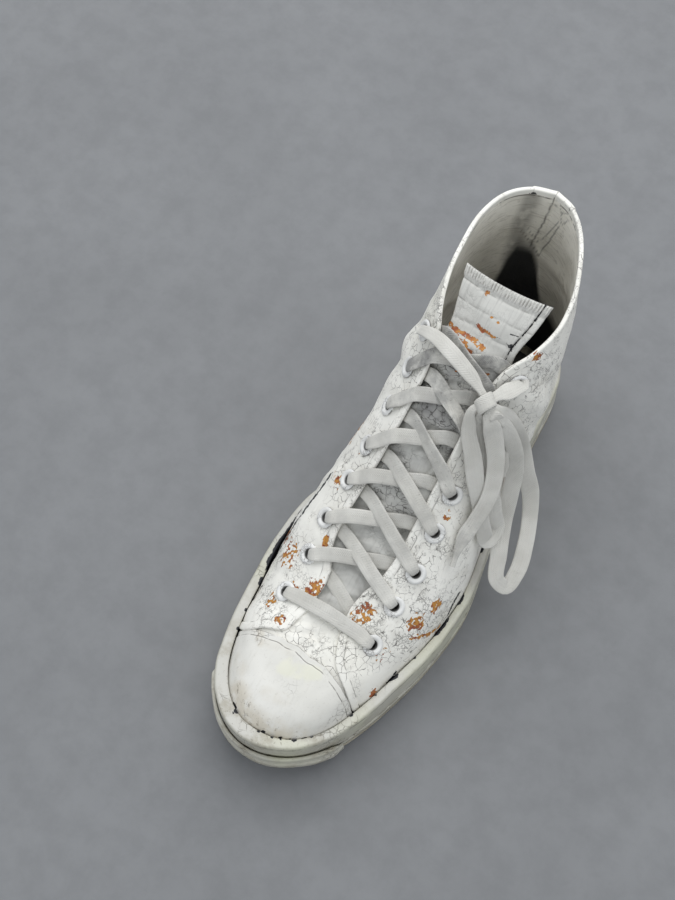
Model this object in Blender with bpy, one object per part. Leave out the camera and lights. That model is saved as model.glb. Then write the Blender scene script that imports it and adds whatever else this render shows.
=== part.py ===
"""Worn high-top lace-up sneaker, left shoe, standing empty on its sole.

Axes: the toe points to -Y, the heel to +Y, +X is the outer (lateral) side of the
foot, +Z is up. The origin lies on the flat underside of the sole at mid length.
Lengths are metres. The tables give lengths as shares of the named sizes.
"""
import math

import bmesh
import bpy
import numpy as np
from mathutils import Matrix, Vector

# Driving sizes of the sole
SOLE_LENGTH = 0.293
BALL_WIDTH = 0.1055
HEEL_WIDTH = 0.074
TOE_SPRING = 0.0123
OUTSOLE_THICK = 0.005
OUTSOLE_LIP = 0.0005
ARCH_HOLLOW = 0.0012
FOXING_WALL = 0.0032
TOE_EXTRA_WALL = 0.0018
FOXING_HEIGHT = 0.032
STRIPE_HEIGHT = 0.0035
BUMPER_THICK = 0.0026
BUMPER_HEIGHT = 0.0165
BUMPER_REACH = 0.205

# Driving sizes of the upper and what is inside it
COLLAR_HEIGHT = 0.152
UPPER_WALL = 0.0019
LAYER_STEP = 0.0015
RIM_WIDTH = 0.0042
RIM_RAISE = 0.0004
HEEL_STRIP_WIDTH = 0.024
HEEL_STRIP_RAISE = 0.0006
CAP_THICK = 0.0014
INSOLE_THICK = 0.0045
TONGUE_THICK = 0.0022
LACE_WIDTH = 0.0076
LACE_THICK = 0.0013
CORD_DIAMETER = 0.0032
KNOT_DIAMETER = 0.0080
EYELET_RADIUS = 0.0056
EYELET_BORE = 0.0026
EYELET_FLANGE = 0.0008
EYELET_BARREL = 0.0007
EYELET_SEAT = 0.0006

# Clearance between pieces that meet
GAP = 0.0003

# Plan of the sole, from heel (station 0) to toe (station 1). The centre is a share
# of the ball width, the fullness a share of the local width over a half circle.
SOLE_PLAN = (
    # station, centre, fullness
    (0.00, -0.005, 0.935),
    (0.06, -0.007, 0.850),
    (0.15, -0.008, 0.678),
    (0.30, 0.003, 0.552),
    (0.45, 0.024, 0.478),
    (0.60, 0.021, 0.511),
    (0.70, 0.006, 0.533),
    (0.80, -0.009, 0.553),
    (0.87, -0.016, 0.580),
    (0.93, -0.023, 0.618),
    (0.97, -0.026, 0.637),
    (1.00, -0.028, 0.645),
)
HEEL_END_STATION = 0.20
BALL_START_STATION = 0.60
SPRING_STATION = 0.66
ARCH_STATIONS = (0.29, 0.33, 0.43, 0.47)

# Top of each rib of the upper, from the toe (turn 0) to the back of the heel
# (turn 1). Centre and spread are shares of the ball width, back a share of the
# sole length, height and tilt shares of the collar height. The spread is the
# half width of the throat or collar and tilt lifts the inner (medial) side.
UPPER_TOP = (
    # turn, centre, spread, back, height, tilt
    (0.000, -0.008, 0.000, -0.290, 0.3640, 0.000),
    (0.100, -0.006, 0.000, -0.286, 0.3660, 0.000),
    (0.200, -0.002, 0.000, -0.277, 0.3740, 0.000),
    (0.270, 0.002, 0.000, -0.266, 0.3840, 0.000),
    (0.312, 0.004, 0.000, -0.251, 0.3955, 0.000),
    (0.342, 0.005, 0.030, -0.230, 0.4080, 0.001),
    (0.371, 0.002, 0.092, -0.194, 0.4280, 0.004),
    (0.410, -0.004, 0.150, -0.142, 0.4780, 0.007),
    (0.445, 0.003, 0.152, -0.077, 0.5560, 0.012),
    (0.474, 0.011, 0.147, -0.021, 0.6380, 0.012),
    (0.500, 0.017, 0.144, 0.027, 0.7200, 0.011),
    (0.526, 0.020, 0.142, 0.075, 0.7950, 0.008),
    (0.555, 0.021, 0.147, 0.123, 0.8660, 0.008),
    (0.590, 0.024, 0.172, 0.167, 0.9340, 0.010),
    (0.629, 0.034, 0.238, 0.209, 0.9830, 0.011),
    (0.675, 0.032, 0.284, 0.263, 1.0080, 0.013),
    (0.725, 0.012, 0.292, 0.324, 1.0100, 0.010),
    (0.785, -0.021, 0.272, 0.386, 1.0060, 0.006),
    (0.850, -0.045, 0.218, 0.444, 1.0020, 0.002),
    (0.925, -0.050, 0.122, 0.484, 1.0030, 0.000),
    (1.000, -0.040, 0.000, 0.499, 1.0070, 0.000),
)

# Bend of each rib. Rise and swell place the lower handle (a share of the rib's
# height, and of the ball width outwards), slope is the fall of the upper handle
# in degrees and reach its length as a share of the rib's chord.
UPPER_BEND = (
    # turn, rise, swell, slope, reach
    (0.000, 0.62, 0.004, 7.0, 0.62),
    (0.150, 0.66, 0.006, 7.0, 0.58),
    (0.270, 0.70, 0.008, 8.0, 0.50),
    (0.342, 0.66, 0.006, 13.0, 0.44),
    (0.410, 0.60, 0.000, 20.0, 0.40),
    (0.474, 0.55, -0.006, 32.0, 0.36),
    (0.526, 0.50, -0.010, 42.0, 0.34),
    (0.590, 0.44, -0.006, 50.0, 0.34),
    (0.675, 0.38, 0.000, 76.0, 0.36),
    (0.785, 0.36, 0.010, 86.0, 0.34),
    (0.900, 0.34, 0.020, 96.0, 0.34),
    (1.000, 0.34, 0.022, 99.0, 0.34),
)

# Rear edge of the toe cap: how far back it lies at each place across.
CAP_EDGE = (
    # across (share of ball width), back (share of sole length)
    (-0.50, -0.352),
    (-0.35, -0.343),
    (-0.24, -0.333),
    (-0.06, -0.327),
    (0.19, -0.337),
    (0.35, -0.364),
    (0.50, -0.395),
)

# Front edge of the quarters over the vamp: half width of the opening that they
# leave, on the outer and the inner side.
QUARTER_EDGE = (
    # back (share of sole length), outer, inner (shares of ball width)
    (-0.420, 0.620, 0.620),
    (-0.378, 0.520, 0.600),
    (-0.362, 0.365, 0.560),
    (-0.352, 0.305, 0.500),
    (-0.343, 0.262, 0.385),
    (-0.336, 0.225, 0.300),
    (-0.326, 0.185, 0.225),
    (-0.312, 0.145, 0.135),
    (-0.290, 0.118, 0.112),
    (-0.266, 0.100, 0.106),
    (-0.240, 0.088, 0.100),
    (-0.222, 0.084, 0.092),
    (-0.200, 0.085, 0.085),
)
QUARTER_FRONT_TURN = 0.215
THROAT_TURN = 0.372
VAMP_END_TURN = 0.312
CAP_TURN = 0.285

# Sides of the tongue: how far up the rib it is tucked in, and how deep its face
# lies, as a share of the room that the upper's wall and one lace take.
TONGUE_TUCK = (
    # turn, tuck, depth
    (0.300, 0.60, 0.58),
    (0.350, 0.72, 0.70),
    (0.400, 0.80, 1.00),
    (0.500, 0.84, 1.00),
    (0.550, 0.90, 1.00),
    (0.600, 0.95, 1.00),
)
# Free top of the tongue above the throat.
TONGUE_TOP = (
    # back (share of sole length), height (of collar), inner, outer, curl (of ball width)
    (0.197, 0.950, -0.140, 0.205, 0.020),
    (0.234, 0.998, -0.168, 0.232, 0.026),
    (0.274, 1.047, -0.194, 0.250, 0.030),
)
TONGUE_COLUMNS = 11
TONGUE_CROWN = 0.5
LACE_TUCK = 0.0035

# Eyelets of one side, front to top.
EYELETS = (
    # back (share of sole length), outer, inner (shares of ball width)
    (-0.253, 0.253, 0.242),
    (-0.182, 0.251, 0.232),
    (-0.121, 0.263, 0.241),
    (-0.054, 0.250, 0.230),
    (0.004, 0.240, 0.226),
    (0.069, 0.236, 0.222),
    (0.128, 0.250, 0.218),
    (0.178, 0.267, 0.222),
)

# Routes of the bow, chosen by hand: the knot, the leads from the top eyelets, two
# loops and two free ends, which hang down the outer side. Metres.
BOW = {
    "lace_knot": (
        (0.0180, 0.0345, 0.1392), (0.0208, 0.0325, 0.1380), (0.0236, 0.0305, 0.1365),
    ),
    "lace_lead_medial": (
        (-0.0250, 0.0500, 0.1382), (-0.0208, 0.0476, 0.1440), (-0.0140, 0.0452, 0.1482),
        (-0.0050, 0.0420, 0.1490), (0.0050, 0.0390, 0.1465), (0.0140, 0.0365, 0.1420),
    ),
    "lace_lead_lateral": (
        (0.0312, 0.0512, 0.1350), (0.0287, 0.0475, 0.1362), (0.0262, 0.0430, 0.1372),
        (0.0235, 0.0380, 0.1382),
    ),
    "lace_loop_large": (
        (0.0280, 0.0345, 0.1330), (0.0335, 0.0380, 0.1220), (0.0385, 0.0405, 0.1080),
        (0.0425, 0.0425, 0.0900), (0.0485, 0.0395, 0.0750), (0.0545, 0.0370, 0.0620),
        (0.0595, 0.0300, 0.0525), (0.0650, 0.0170, 0.0460), (0.0685, 0.0015, 0.0415),
        (0.0675, -0.0070, 0.0400), (0.0625, -0.0080, 0.0440), (0.0565, 0.0020, 0.0520),
        (0.0505, 0.0150, 0.0600), (0.0475, 0.0240, 0.0720), (0.0430, 0.0330, 0.0920),
        (0.0390, 0.0345, 0.1075), (0.0335, 0.0335, 0.1205), (0.0295, 0.0315, 0.1280),
    ),
    "lace_loop_small": (
        (0.0172, 0.0272, 0.1360), (0.0190, 0.0222, 0.1280), (0.0262, 0.0160, 0.1142),
        (0.0322, 0.0108, 0.1015), (0.0385, 0.0065, 0.0880), (0.0445, 0.0020, 0.0740),
        (0.0490, 0.0020, 0.0630), (0.0495, 0.0070, 0.0640), (0.0455, 0.0110, 0.0760),
        (0.0400, 0.0150, 0.0890), (0.0330, 0.0196, 0.1050), (0.0265, 0.0242, 0.1180),
        (0.0230, 0.0262, 0.1260),
    ),
    "lace_end_long": (
        (0.0255, 0.0286, 0.1330), (0.0312, 0.0262, 0.1215), (0.0378, 0.0195, 0.1060),
        (0.0412, 0.0100, 0.0940), (0.0405, -0.0010, 0.0840), (0.0395, -0.0100, 0.0777),
        (0.0402, -0.0170, 0.0722), (0.0412, -0.0220, 0.0682),
    ),
    "lace_end_short": (
        (0.0256, 0.0308, 0.1275), (0.0274, 0.0304, 0.1220), (0.0312, 0.0300, 0.1135),
        (0.0362, 0.0272, 0.1015), (0.0396, 0.0230, 0.0915),
    ),
}


def spline(rows, column, at):
    """Smooth curve through one column of a table, over its first column.

    Piecewise cubic with the slope at each row taken from its two neighbours.
    """
    table = np.array(rows, dtype=float)
    knots = table[:, 0]
    values = table[:, column]
    steps = np.diff(knots)
    rates = np.diff(values) / steps
    slopes = np.empty(len(knots))
    slopes[1:-1] = (rates[:-1] * steps[1:] + rates[1:] * steps[:-1]) / (steps[:-1] + steps[1:])
    slopes[0] = rates[0]
    slopes[-1] = rates[-1]
    at = np.clip(np.asarray(at, dtype=float), knots[0], knots[-1])
    index = np.clip(np.searchsorted(knots, at, side="right") - 1, 0, len(steps) - 1)
    span = steps[index]
    part = (at - knots[index]) / span
    return (
        values[index] * (1 + 2 * part) * (1 - part) ** 2
        + slopes[index] * span * part * (1 - part) ** 2
        + values[index + 1] * part ** 2 * (3 - 2 * part)
        + slopes[index + 1] * span * part ** 2 * (part - 1)
    )


def smooth_step(value, start, end):
    """0 before start, 1 after end, and an even S between them."""
    part = np.clip((np.asarray(value, dtype=float) - start) / (end - start), 0.0, 1.0)
    return part * part * (3 - 2 * part)


def station_of(back):
    """Station along the sole (0 heel, 1 toe) of a place at this y."""
    return np.clip(0.5 - np.asarray(back) / SOLE_LENGTH, 0.0, 1.0)


def ground(station):
    """Height of the sole's underside: flat, then rising to the toe spring."""
    rise = np.clip((np.asarray(station) - SPRING_STATION) / (1 - SPRING_STATION), 0.0, None)
    return TOE_SPRING * rise ** 2


def sole_line(turn):
    """Outline of the foxing in plan; turn is 0 at the toe, +1 or -1 at the heel."""
    station = (1 + np.cos(np.pi * turn)) / 2
    blend = smooth_step(station, HEEL_END_STATION, BALL_START_STATION)
    width = HEEL_WIDTH + (BALL_WIDTH - HEEL_WIDTH) * blend
    half = spline(SOLE_PLAN, 2, station) * width
    x = spline(SOLE_PLAN, 1, station) * BALL_WIDTH + np.sin(np.pi * turn) * half
    y = SOLE_LENGTH * (0.5 - station)
    return np.stack([x, y], axis=-1)


def sole_normal(turn):
    """Unit vector in plan that points out of the outline."""
    step = 1e-3
    along = sole_line(turn + step) - sole_line(turn - step)
    normal = np.stack([along[..., 1], -along[..., 0]], axis=-1)
    return normal / np.linalg.norm(normal, axis=-1, keepdims=True)


def offset_line(turn, inset):
    """Outline moved inwards by inset."""
    inset = np.asarray(inset, dtype=float)
    return sole_line(turn) - sole_normal(turn) * inset[..., None]


def foxing_wall(turn):
    """Thickness of the foxing, with its extra layers around the toe."""
    toe = 1 - smooth_step(np.abs(turn), 0.5 * BUMPER_REACH, 1.5 * BUMPER_REACH)
    return FOXING_WALL + TOE_EXTRA_WALL * toe


def upper_foot(turn):
    """Where a rib of the upper stands on the outsole, inside the foxing."""
    plan = offset_line(turn, foxing_wall(turn) + 2 * GAP)
    height = ground(station_of(plan[..., 1])) + OUTSOLE_THICK + GAP
    return np.concatenate([plan, height[..., None]], axis=-1)


def upper_top(turn):
    """Upper end of a rib: ridge of the vamp, throat edge or collar edge."""
    part = np.abs(turn)
    side = np.sign(turn)
    back = spline(UPPER_TOP, 3, part) * SOLE_LENGTH
    spread = spline(UPPER_TOP, 2, part)
    x = (spline(UPPER_TOP, 1, part) + side * spread) * BALL_WIDTH
    share = spline(UPPER_TOP, 4, part) - side * spline(UPPER_TOP, 5, part)
    z = share * COLLAR_HEIGHT + ground(station_of(back))
    return np.stack([x, back, z], axis=-1)


def upper_surface(turn, share):
    """Outer face of the upper: a cubic rib from foot to top at each turn."""
    turn, share = np.broadcast_arrays(np.asarray(turn, float), np.asarray(share, float))
    wrapped = np.where(turn > 1, turn - 2, np.where(turn < -1, turn + 2, turn))
    part = np.abs(wrapped)
    foot = upper_foot(turn)
    top = upper_top(wrapped)
    outward = np.concatenate([sole_normal(turn), np.zeros(turn.shape + (1,))], axis=-1)
    chord = np.linalg.norm(top - foot, axis=-1, keepdims=True)
    rise = spline(UPPER_BEND, 1, part)[..., None] * (top - foot)[..., 2:3]
    swell = spline(UPPER_BEND, 2, part)[..., None] * BALL_WIDTH
    slope = np.radians(spline(UPPER_BEND, 3, part))[..., None]
    reach = spline(UPPER_BEND, 4, part)[..., None] * chord
    upward = np.array([0.0, 0.0, 1.0])
    low = foot + upward * rise + outward * swell
    high = top + (outward * np.cos(slope) - upward * np.sin(slope)) * reach
    share = share[..., None]
    rest = 1 - share
    rib = (
        foot * rest ** 3
        + low * 3 * share * rest ** 2
        + high * 3 * share ** 2 * rest
        + top * share ** 3
    )
    bulge = np.sum((rib - foot) * outward, axis=-1, keepdims=True)
    level = ground(station_of(foot[..., 1])) + FOXING_HEIGHT
    clear = smooth_step(rib[..., 2] - level, 0.0, 0.6 * FOXING_HEIGHT)[..., None]
    return rib - outward * np.clip(bulge, 0.0, None) * (1 - clear)


def upper_normal(turn, share):
    """Unit vector out of the upper's outer face."""
    turn, share = np.broadcast_arrays(np.asarray(turn, float), np.asarray(share, float))
    step = 2e-3
    inside = np.clip(share, 0.02, 0.98)
    along = upper_surface(turn + step, inside) - upper_surface(turn - step, inside)
    up = upper_surface(turn, inside + step) - upper_surface(turn, inside - step)
    normal = np.cross(along, up)
    return normal / np.linalg.norm(normal, axis=-1, keepdims=True)


def upper_offset(turn, share, lift):
    """The upper's outer face moved outwards by lift."""
    lift = np.asarray(lift, dtype=float)
    return upper_surface(turn, share) + upper_normal(turn, share) * lift[..., None]


def find_share(turn, inside, samples=160):
    """First share along the rib at which inside(points) turns false."""
    shares = np.linspace(0.0, 1.0, samples)
    points = upper_surface(turn, shares)
    flags = inside(points)
    if np.all(flags):
        return 1.0
    return float(shares[max(int(np.argmin(flags)) - 1, 1)])


def locate(side, x, y):
    """Turn and share of the upper's point that lies above this place in plan.

    A coarse search, then Newton steps on the plan of the surface.
    """
    turns = side * np.linspace(0.22, 0.64, 22)[:, None]
    shares = np.linspace(0.40, 1.0, 13)[None, :]
    plan = upper_surface(turns, shares)[..., :2]
    distance = np.hypot(plan[..., 0] - x, plan[..., 1] - y)
    row, column = np.unravel_index(int(np.argmin(distance)), distance.shape)
    turn = float(turns[row, 0])
    share = float(shares[0, column])
    step = 1e-4
    for _ in range(8):
        here = upper_surface(turn, share)[:2]
        by_turn = (upper_surface(turn + step, share)[:2] - here) / step
        by_share = (upper_surface(turn, share + step)[:2] - here) / step
        change = np.linalg.solve(np.stack([by_turn, by_share], axis=1), np.array([x, y]) - here)
        turn += float(np.clip(change[0], -0.02, 0.02))
        share += float(np.clip(change[1], -0.08, 0.08))
    return turn, share


def material(name, colour, roughness, metallic=0.0):
    """Principled BSDF with one colour."""
    made = bpy.data.materials.new(name)
    made.use_nodes = True
    shader = made.node_tree.nodes["Principled BSDF"]
    shader.inputs["Base Color"].default_value = (*colour, 1.0)
    shader.inputs["Roughness"].default_value = roughness
    shader.inputs["Metallic"].default_value = metallic
    return made


def add_object(name, bm, finish):
    """Object from a closed bmesh, welded and with its faces pointing out."""
    bmesh.ops.remove_doubles(bm, verts=bm.verts, dist=1e-6)
    bmesh.ops.recalc_face_normals(bm, faces=bm.faces)
    mesh = bpy.data.meshes.new(name)
    bm.to_mesh(mesh)
    bm.free()
    mesh.shade_smooth()
    mesh.set_sharp_from_angle(angle=math.radians(35))
    mesh.materials.append(finish)
    made = bpy.data.objects.new(name, mesh)
    bpy.context.collection.objects.link(made)
    return made


def boolean(target, operand, operation):
    """Exact boolean; the operand stays as a hidden guide."""
    modifier = target.modifiers.new(operand.name, "BOOLEAN")
    modifier.operation = operation
    modifier.solver = "EXACT"
    modifier.object = operand
    operand.hide_render = True
    operand.display_type = "WIRE"


def grid_faces(bm, rows, close_rows=False, close_columns=False):
    """Faces between neighbouring rows of vertices; doubled corners are dropped."""
    count = len(rows)
    width = len(rows[0])
    for i in range(count if close_rows else count - 1):
        for j in range(width if close_columns else width - 1):
            corners = (
                rows[i][j],
                rows[(i + 1) % count][j],
                rows[(i + 1) % count][(j + 1) % width],
                rows[i][(j + 1) % width],
            )
            distinct = list(dict.fromkeys(corners))
            if len(distinct) > 2:
                bm.faces.new(distinct)


def vertex_rows(bm, points):
    """Vertices for an array of points, as rows."""
    return [[bm.verts.new(point) for point in row] for row in points]


def swept_ring(name, sections, finish):
    """Closed ring from an array (section, corner, xyz)."""
    bm = bmesh.new()
    grid_faces(bm, vertex_rows(bm, sections), close_rows=True, close_columns=True)
    return add_object(name, bm, finish)


def swept_strip(name, sections, finish):
    """Open strip from an array (section, corner, xyz), with its ends filled."""
    bm = bmesh.new()
    rows = vertex_rows(bm, sections)
    grid_faces(bm, rows, close_columns=True)
    bm.faces.new(rows[0])
    bm.faces.new(rows[-1][::-1])
    return add_object(name, bm, finish)


def shell(name, outer, inner, finish):
    """Closed sheet between two grids (column, row, xyz) with its four edges filled."""
    bm = bmesh.new()
    sections = np.concatenate([outer, inner[:, ::-1]], axis=1)
    rows = vertex_rows(bm, sections)
    grid_faces(bm, rows, close_columns=True)
    width = outer.shape[1]
    for row in (rows[0], rows[-1]):
        for i in range(width - 1):
            corners = (row[i], row[i + 1], row[-2 - i], row[-1 - i])
            bm.faces.new(list(dict.fromkeys(corners)))
    return add_object(name, bm, finish)


def ring_sections(turns, profile):
    """Profile of (inset, height over the ground line) pairs carried round the sole."""
    corners = []
    for inset, height in profile:
        plan = offset_line(turns, np.broadcast_to(inset, turns.shape))
        z = ground(station_of(plan[:, 1])) + height
        corners.append(np.concatenate([plan, z[:, None]], axis=1))
    return np.stack(corners, axis=1)


def plate(name, inset, levels, finish, turns=64, rings=(1.0, 0.82, 0.5)):
    """Solid plate inside the outline; levels gives its underside and top heights.

    Each ring is the outline drawn towards the centre line, so the plate has no
    pole. Levels is a function of plan points and of the ring's share.
    """
    around = np.linspace(-1.0, 1.0, turns, endpoint=False)
    edge = offset_line(around, np.full(turns, inset))
    station = station_of(edge[:, 1])
    centre = np.stack([spline(SOLE_PLAN, 1, station) * BALL_WIDTH, edge[:, 1] * 0.93], axis=1)
    bm = bmesh.new()
    faces = {}
    for label in ("under", "over"):
        rows = []
        for share in rings:
            plan = centre + (edge - centre) * share
            z = levels(plan, share)[label]
            rows.append(np.concatenate([plan, z[:, None]], axis=1))
        faces[label] = vertex_rows(bm, np.stack(rows))
        for i in range(len(rings) - 1):
            for j in range(turns):
                k = (j + 1) % turns
                bm.faces.new((
                    faces[label][i][j], faces[label][i][k],
                    faces[label][i + 1][k], faces[label][i + 1][j],
                ))
        last = faces[label][-1]
        for j in range(turns // 2):
            a, b = last[j], last[(j + 1) % turns]
            c, d = last[(turns - 1 - j) % turns], last[(turns - j) % turns]
            corners = list(dict.fromkeys((a, b, c, d)))
            if len(corners) > 2:
                bm.faces.new(corners)
    for j in range(turns):
        k = (j + 1) % turns
        bm.faces.new((
            faces["under"][0][j], faces["under"][0][k], faces["over"][0][k], faces["over"][0][j],
        ))
    return add_object(name, bm, finish)


def make_outsole(finish):
    """Flat plate with toe spring and a shallow hollow under the arch."""
    def levels(plan, share):
        station = station_of(plan[:, 1])
        low, rise, fall, high = ARCH_STATIONS
        hollow = smooth_step(station, low, rise) * (1 - smooth_step(station, fall, high))
        base = ground(station)
        under = base + ARCH_HOLLOW * hollow * (share < 0.95)
        return {"under": under, "over": base + OUTSOLE_THICK}
    return plate("outsole", -OUTSOLE_LIP, levels, finish, turns=52, rings=(1.0, 0.94, 0.93, 0.5))


def make_insole(finish):
    """Footbed on the outsole, a little dished under the heel and the ball."""
    inset = FOXING_WALL + TOE_EXTRA_WALL + 2 * GAP + UPPER_WALL + LAYER_STEP + 2 * GAP

    def levels(plan, share):
        base = ground(station_of(plan[:, 1])) + OUTSOLE_THICK + GAP
        dish = 0.3 * INSOLE_THICK * (1 - share)
        return {"under": base, "over": base + INSOLE_THICK - dish}
    return plate("insole", inset, levels, finish, turns=36, rings=(1.0, 0.7, 0.35))


def make_foxing(finish):
    """Rubber band round the upper, with a raised stripe along its foot."""
    turns = np.linspace(-1.0, 1.0, 68, endpoint=False)
    wall = foxing_wall(turns)
    foot = OUTSOLE_THICK + GAP
    profile = (
        (-OUTSOLE_LIP, foot),
        (-OUTSOLE_LIP, foot + STRIPE_HEIGHT),
        (0.0, foot + STRIPE_HEIGHT + OUTSOLE_LIP),
        (0.0, 0.9 * FOXING_HEIGHT),
        (0.25 * FOXING_WALL, FOXING_HEIGHT),
        (wall, FOXING_HEIGHT),
        (wall, foot),
    )
    return swept_ring("foxing", ring_sections(turns, profile), finish)


def make_bumper(finish):
    """Thick strip round the toe with a stepped face and tapered ends."""
    turns = np.linspace(-BUMPER_REACH, BUMPER_REACH, 25)
    taper = 0.45 + 0.55 * smooth_step(BUMPER_REACH - np.abs(turns), 0.0, 0.12 * BUMPER_REACH)
    back = OUTSOLE_LIP + GAP
    face = back + BUMPER_THICK * taper
    step = 0.25 * BUMPER_THICK
    top = OUTSOLE_THICK + (BUMPER_HEIGHT - OUTSOLE_THICK) * taper
    foot = 0.25 * OUTSOLE_THICK
    middle = 0.45 * BUMPER_HEIGHT
    profile = (
        (-back, foot),
        (-face, foot),
        (-face, middle),
        (-face + step, middle + 0.5 * step),
        (-face + step, top - step),
        (-face + 2 * step, top),
        (-back, top),
    )
    return swept_strip("toe_bumper", ring_sections(turns, profile), finish)


def foxing_top_share(turn):
    """Share along the rib where the upper leaves the foxing."""
    level = FOXING_HEIGHT - 0.1 * FOXING_HEIGHT

    def below(points):
        return points[:, 2] < ground(station_of(points[:, 1])) + level
    return find_share(turn, below)


def plan_prism(name, outline, height, finish):
    """Upright guide prism over a plan outline."""
    bm = bmesh.new()
    low = [bm.verts.new((x, y, 0.0)) for x, y in outline]
    high = [bm.verts.new((x, y, height)) for x, y in outline]
    bm.faces.new(low[::-1])
    bm.faces.new(high)
    for i in range(len(outline)):
        k = (i + 1) % len(outline)
        bm.faces.new((low[i], low[k], high[k], high[i]))
    return add_object(name, bm, finish)


def quarter_opening(finish):
    """Guide that cuts the quarters back to their front edges over the vamp."""
    table = np.array(QUARTER_EDGE)
    back = np.linspace(table[0, 0], table[-1, 0], 31)
    outer = np.column_stack([spline(QUARTER_EDGE, 1, back) * BALL_WIDTH, back * SOLE_LENGTH])
    inner = np.column_stack([-spline(QUARTER_EDGE, 2, back) * BALL_WIDTH, back * SOLE_LENGTH])
    tip = np.array([[0.0, (back[-1] + 0.02) * SOLE_LENGTH]])
    outline = np.concatenate([outer, tip, inner[::-1]])
    return plan_prism("quarter_opening", outline, COLLAR_HEIGHT, finish)


def behind_cap(finish):
    """Guide that cuts the toe cap along its rear edge."""
    across = np.linspace(CAP_EDGE[0][0], CAP_EDGE[-1][0], 25)
    edge = np.column_stack([across * BALL_WIDTH, spline(CAP_EDGE, 1, across) * SOLE_LENGTH])
    rear = np.array([[edge[-1, 0], 0.0], [edge[0, 0], 0.0]])
    return plan_prism("behind_cap", np.concatenate([edge, rear]), COLLAR_HEIGHT, finish)


def lifted_grid(turns, shares, lift):
    """Points of the upper for matching arrays (column, row) and a lift."""
    turns = np.broadcast_to(turns[:, None], shares.shape)
    return upper_offset(turns, shares, np.broadcast_to(lift, shares.shape))


def make_vamp(finish):
    """Front of the upper's wall, closed over the toe; its halves meet on the ridge."""
    turns = np.linspace(-VAMP_END_TURN, VAMP_END_TURN, 21)
    shares = np.broadcast_to(np.linspace(0.0, 1.0, 9), (len(turns), 9))
    bm = bmesh.new()
    skins = []
    for lift in (-LAYER_STEP, -LAYER_STEP - UPPER_WALL):
        points = lifted_grid(turns, shares, lift)
        ridge = (points[:, -1] + points[::-1, -1]) / 2
        points[:, -1] = ridge
        skins.append(vertex_rows(bm, points))
        grid_faces(bm, skins[-1])
    outer, inner = skins
    for i in range(len(turns) - 1):
        bm.faces.new((outer[i][0], outer[i + 1][0], inner[i + 1][0], inner[i][0]))
    for row_out, row_in in ((outer[0], inner[0]), (outer[-1], inner[-1])):
        for j in range(len(row_out) - 1):
            bm.faces.new((row_out[j], row_out[j + 1], row_in[j + 1], row_in[j]))
    return add_object("vamp_layer", bm, finish)


def make_quarters(finish):
    """Sides and back of the upper's wall, with raised edge and heel strip."""
    strip = 1 - HEEL_STRIP_WIDTH / (HEEL_WIDTH * math.pi)
    half = np.concatenate([
        np.linspace(QUARTER_FRONT_TURN, THROAT_TURN, 7),
        np.linspace(THROAT_TURN, 0.62, 11)[1:],
        np.linspace(0.65, strip - 0.004, 7),
        [strip, (strip + 1) / 2, 1.0],
    ])
    turns = np.concatenate([half, -half[-2::-1]])
    part = np.abs(turns)
    limits = 0.88 + 0.12 * smooth_step(part, VAMP_END_TURN, THROAT_TURN)
    tops = upper_surface(turns, limits)
    feet = upper_surface(turns, np.zeros(len(turns)))
    rim = np.clip(RIM_WIDTH / np.linalg.norm(tops - feet, axis=1), 0.02, 0.35)
    body = np.linspace(0.0, 1.0, 8)[None, :] * (1 - rim[:, None] - 0.006)
    shares = np.concatenate([body, 1 - rim[:, None], np.ones((len(turns), 1))], axis=1)
    lift = np.zeros(shares.shape)
    lift[part >= THROAT_TURN, -2:] = RIM_RAISE
    lift[part >= strip - 0.001, 2:] += HEEL_STRIP_RAISE
    shares = shares * limits[:, None]
    outer = lifted_grid(turns, shares, lift)
    inner = lifted_grid(turns, shares, -UPPER_WALL)
    return shell("upper", outer, inner, finish)


def make_cap(finish):
    """Rubber toe cap over the vamp, from inside the foxing to the cap line."""
    turns = np.linspace(-CAP_TURN, CAP_TURN, 21)
    low = np.array([foxing_top_share(turn) for turn in turns])
    shares = low[:, None] + (0.93 - low)[:, None] * np.linspace(0.0, 1.0, 7)[None, :]
    inner = -LAYER_STEP + GAP
    cap = shell(
        "toe_cap",
        lifted_grid(turns, shares, inner + CAP_THICK),
        lifted_grid(turns, shares, inner),
        finish,
    )
    boolean(cap, behind_cap(finish), "DIFFERENCE")
    return cap


def evenly(points, count):
    """The same curve with this many points at even distances."""
    steps = np.linalg.norm(np.diff(points, axis=0), axis=1)
    along = np.concatenate([[0.0], np.cumsum(steps)])
    wanted = np.linspace(0.0, along[-1], count)
    return np.stack([np.interp(wanted, along, points[:, axis]) for axis in range(3)], axis=1)


def curve_through(points, count):
    """Smooth curve through route points, read at even distances."""
    points = np.asarray(points, dtype=float)
    steps = np.linalg.norm(np.diff(points, axis=0), axis=1)
    along = np.concatenate([[0.0], np.cumsum(steps)])
    rows = np.column_stack([along, points])
    dense = np.linspace(0.0, along[-1], 12 * len(points))
    smooth = np.stack([spline(rows, axis + 1, dense) for axis in range(3)], axis=1)
    return evenly(smooth, count)


def grid_normals(points):
    """Unit normals of a grid of points (row, column, xyz)."""
    normal = np.cross(np.gradient(points, axis=1), np.gradient(points, axis=0))
    return normal / np.linalg.norm(normal, axis=-1, keepdims=True)


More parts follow.
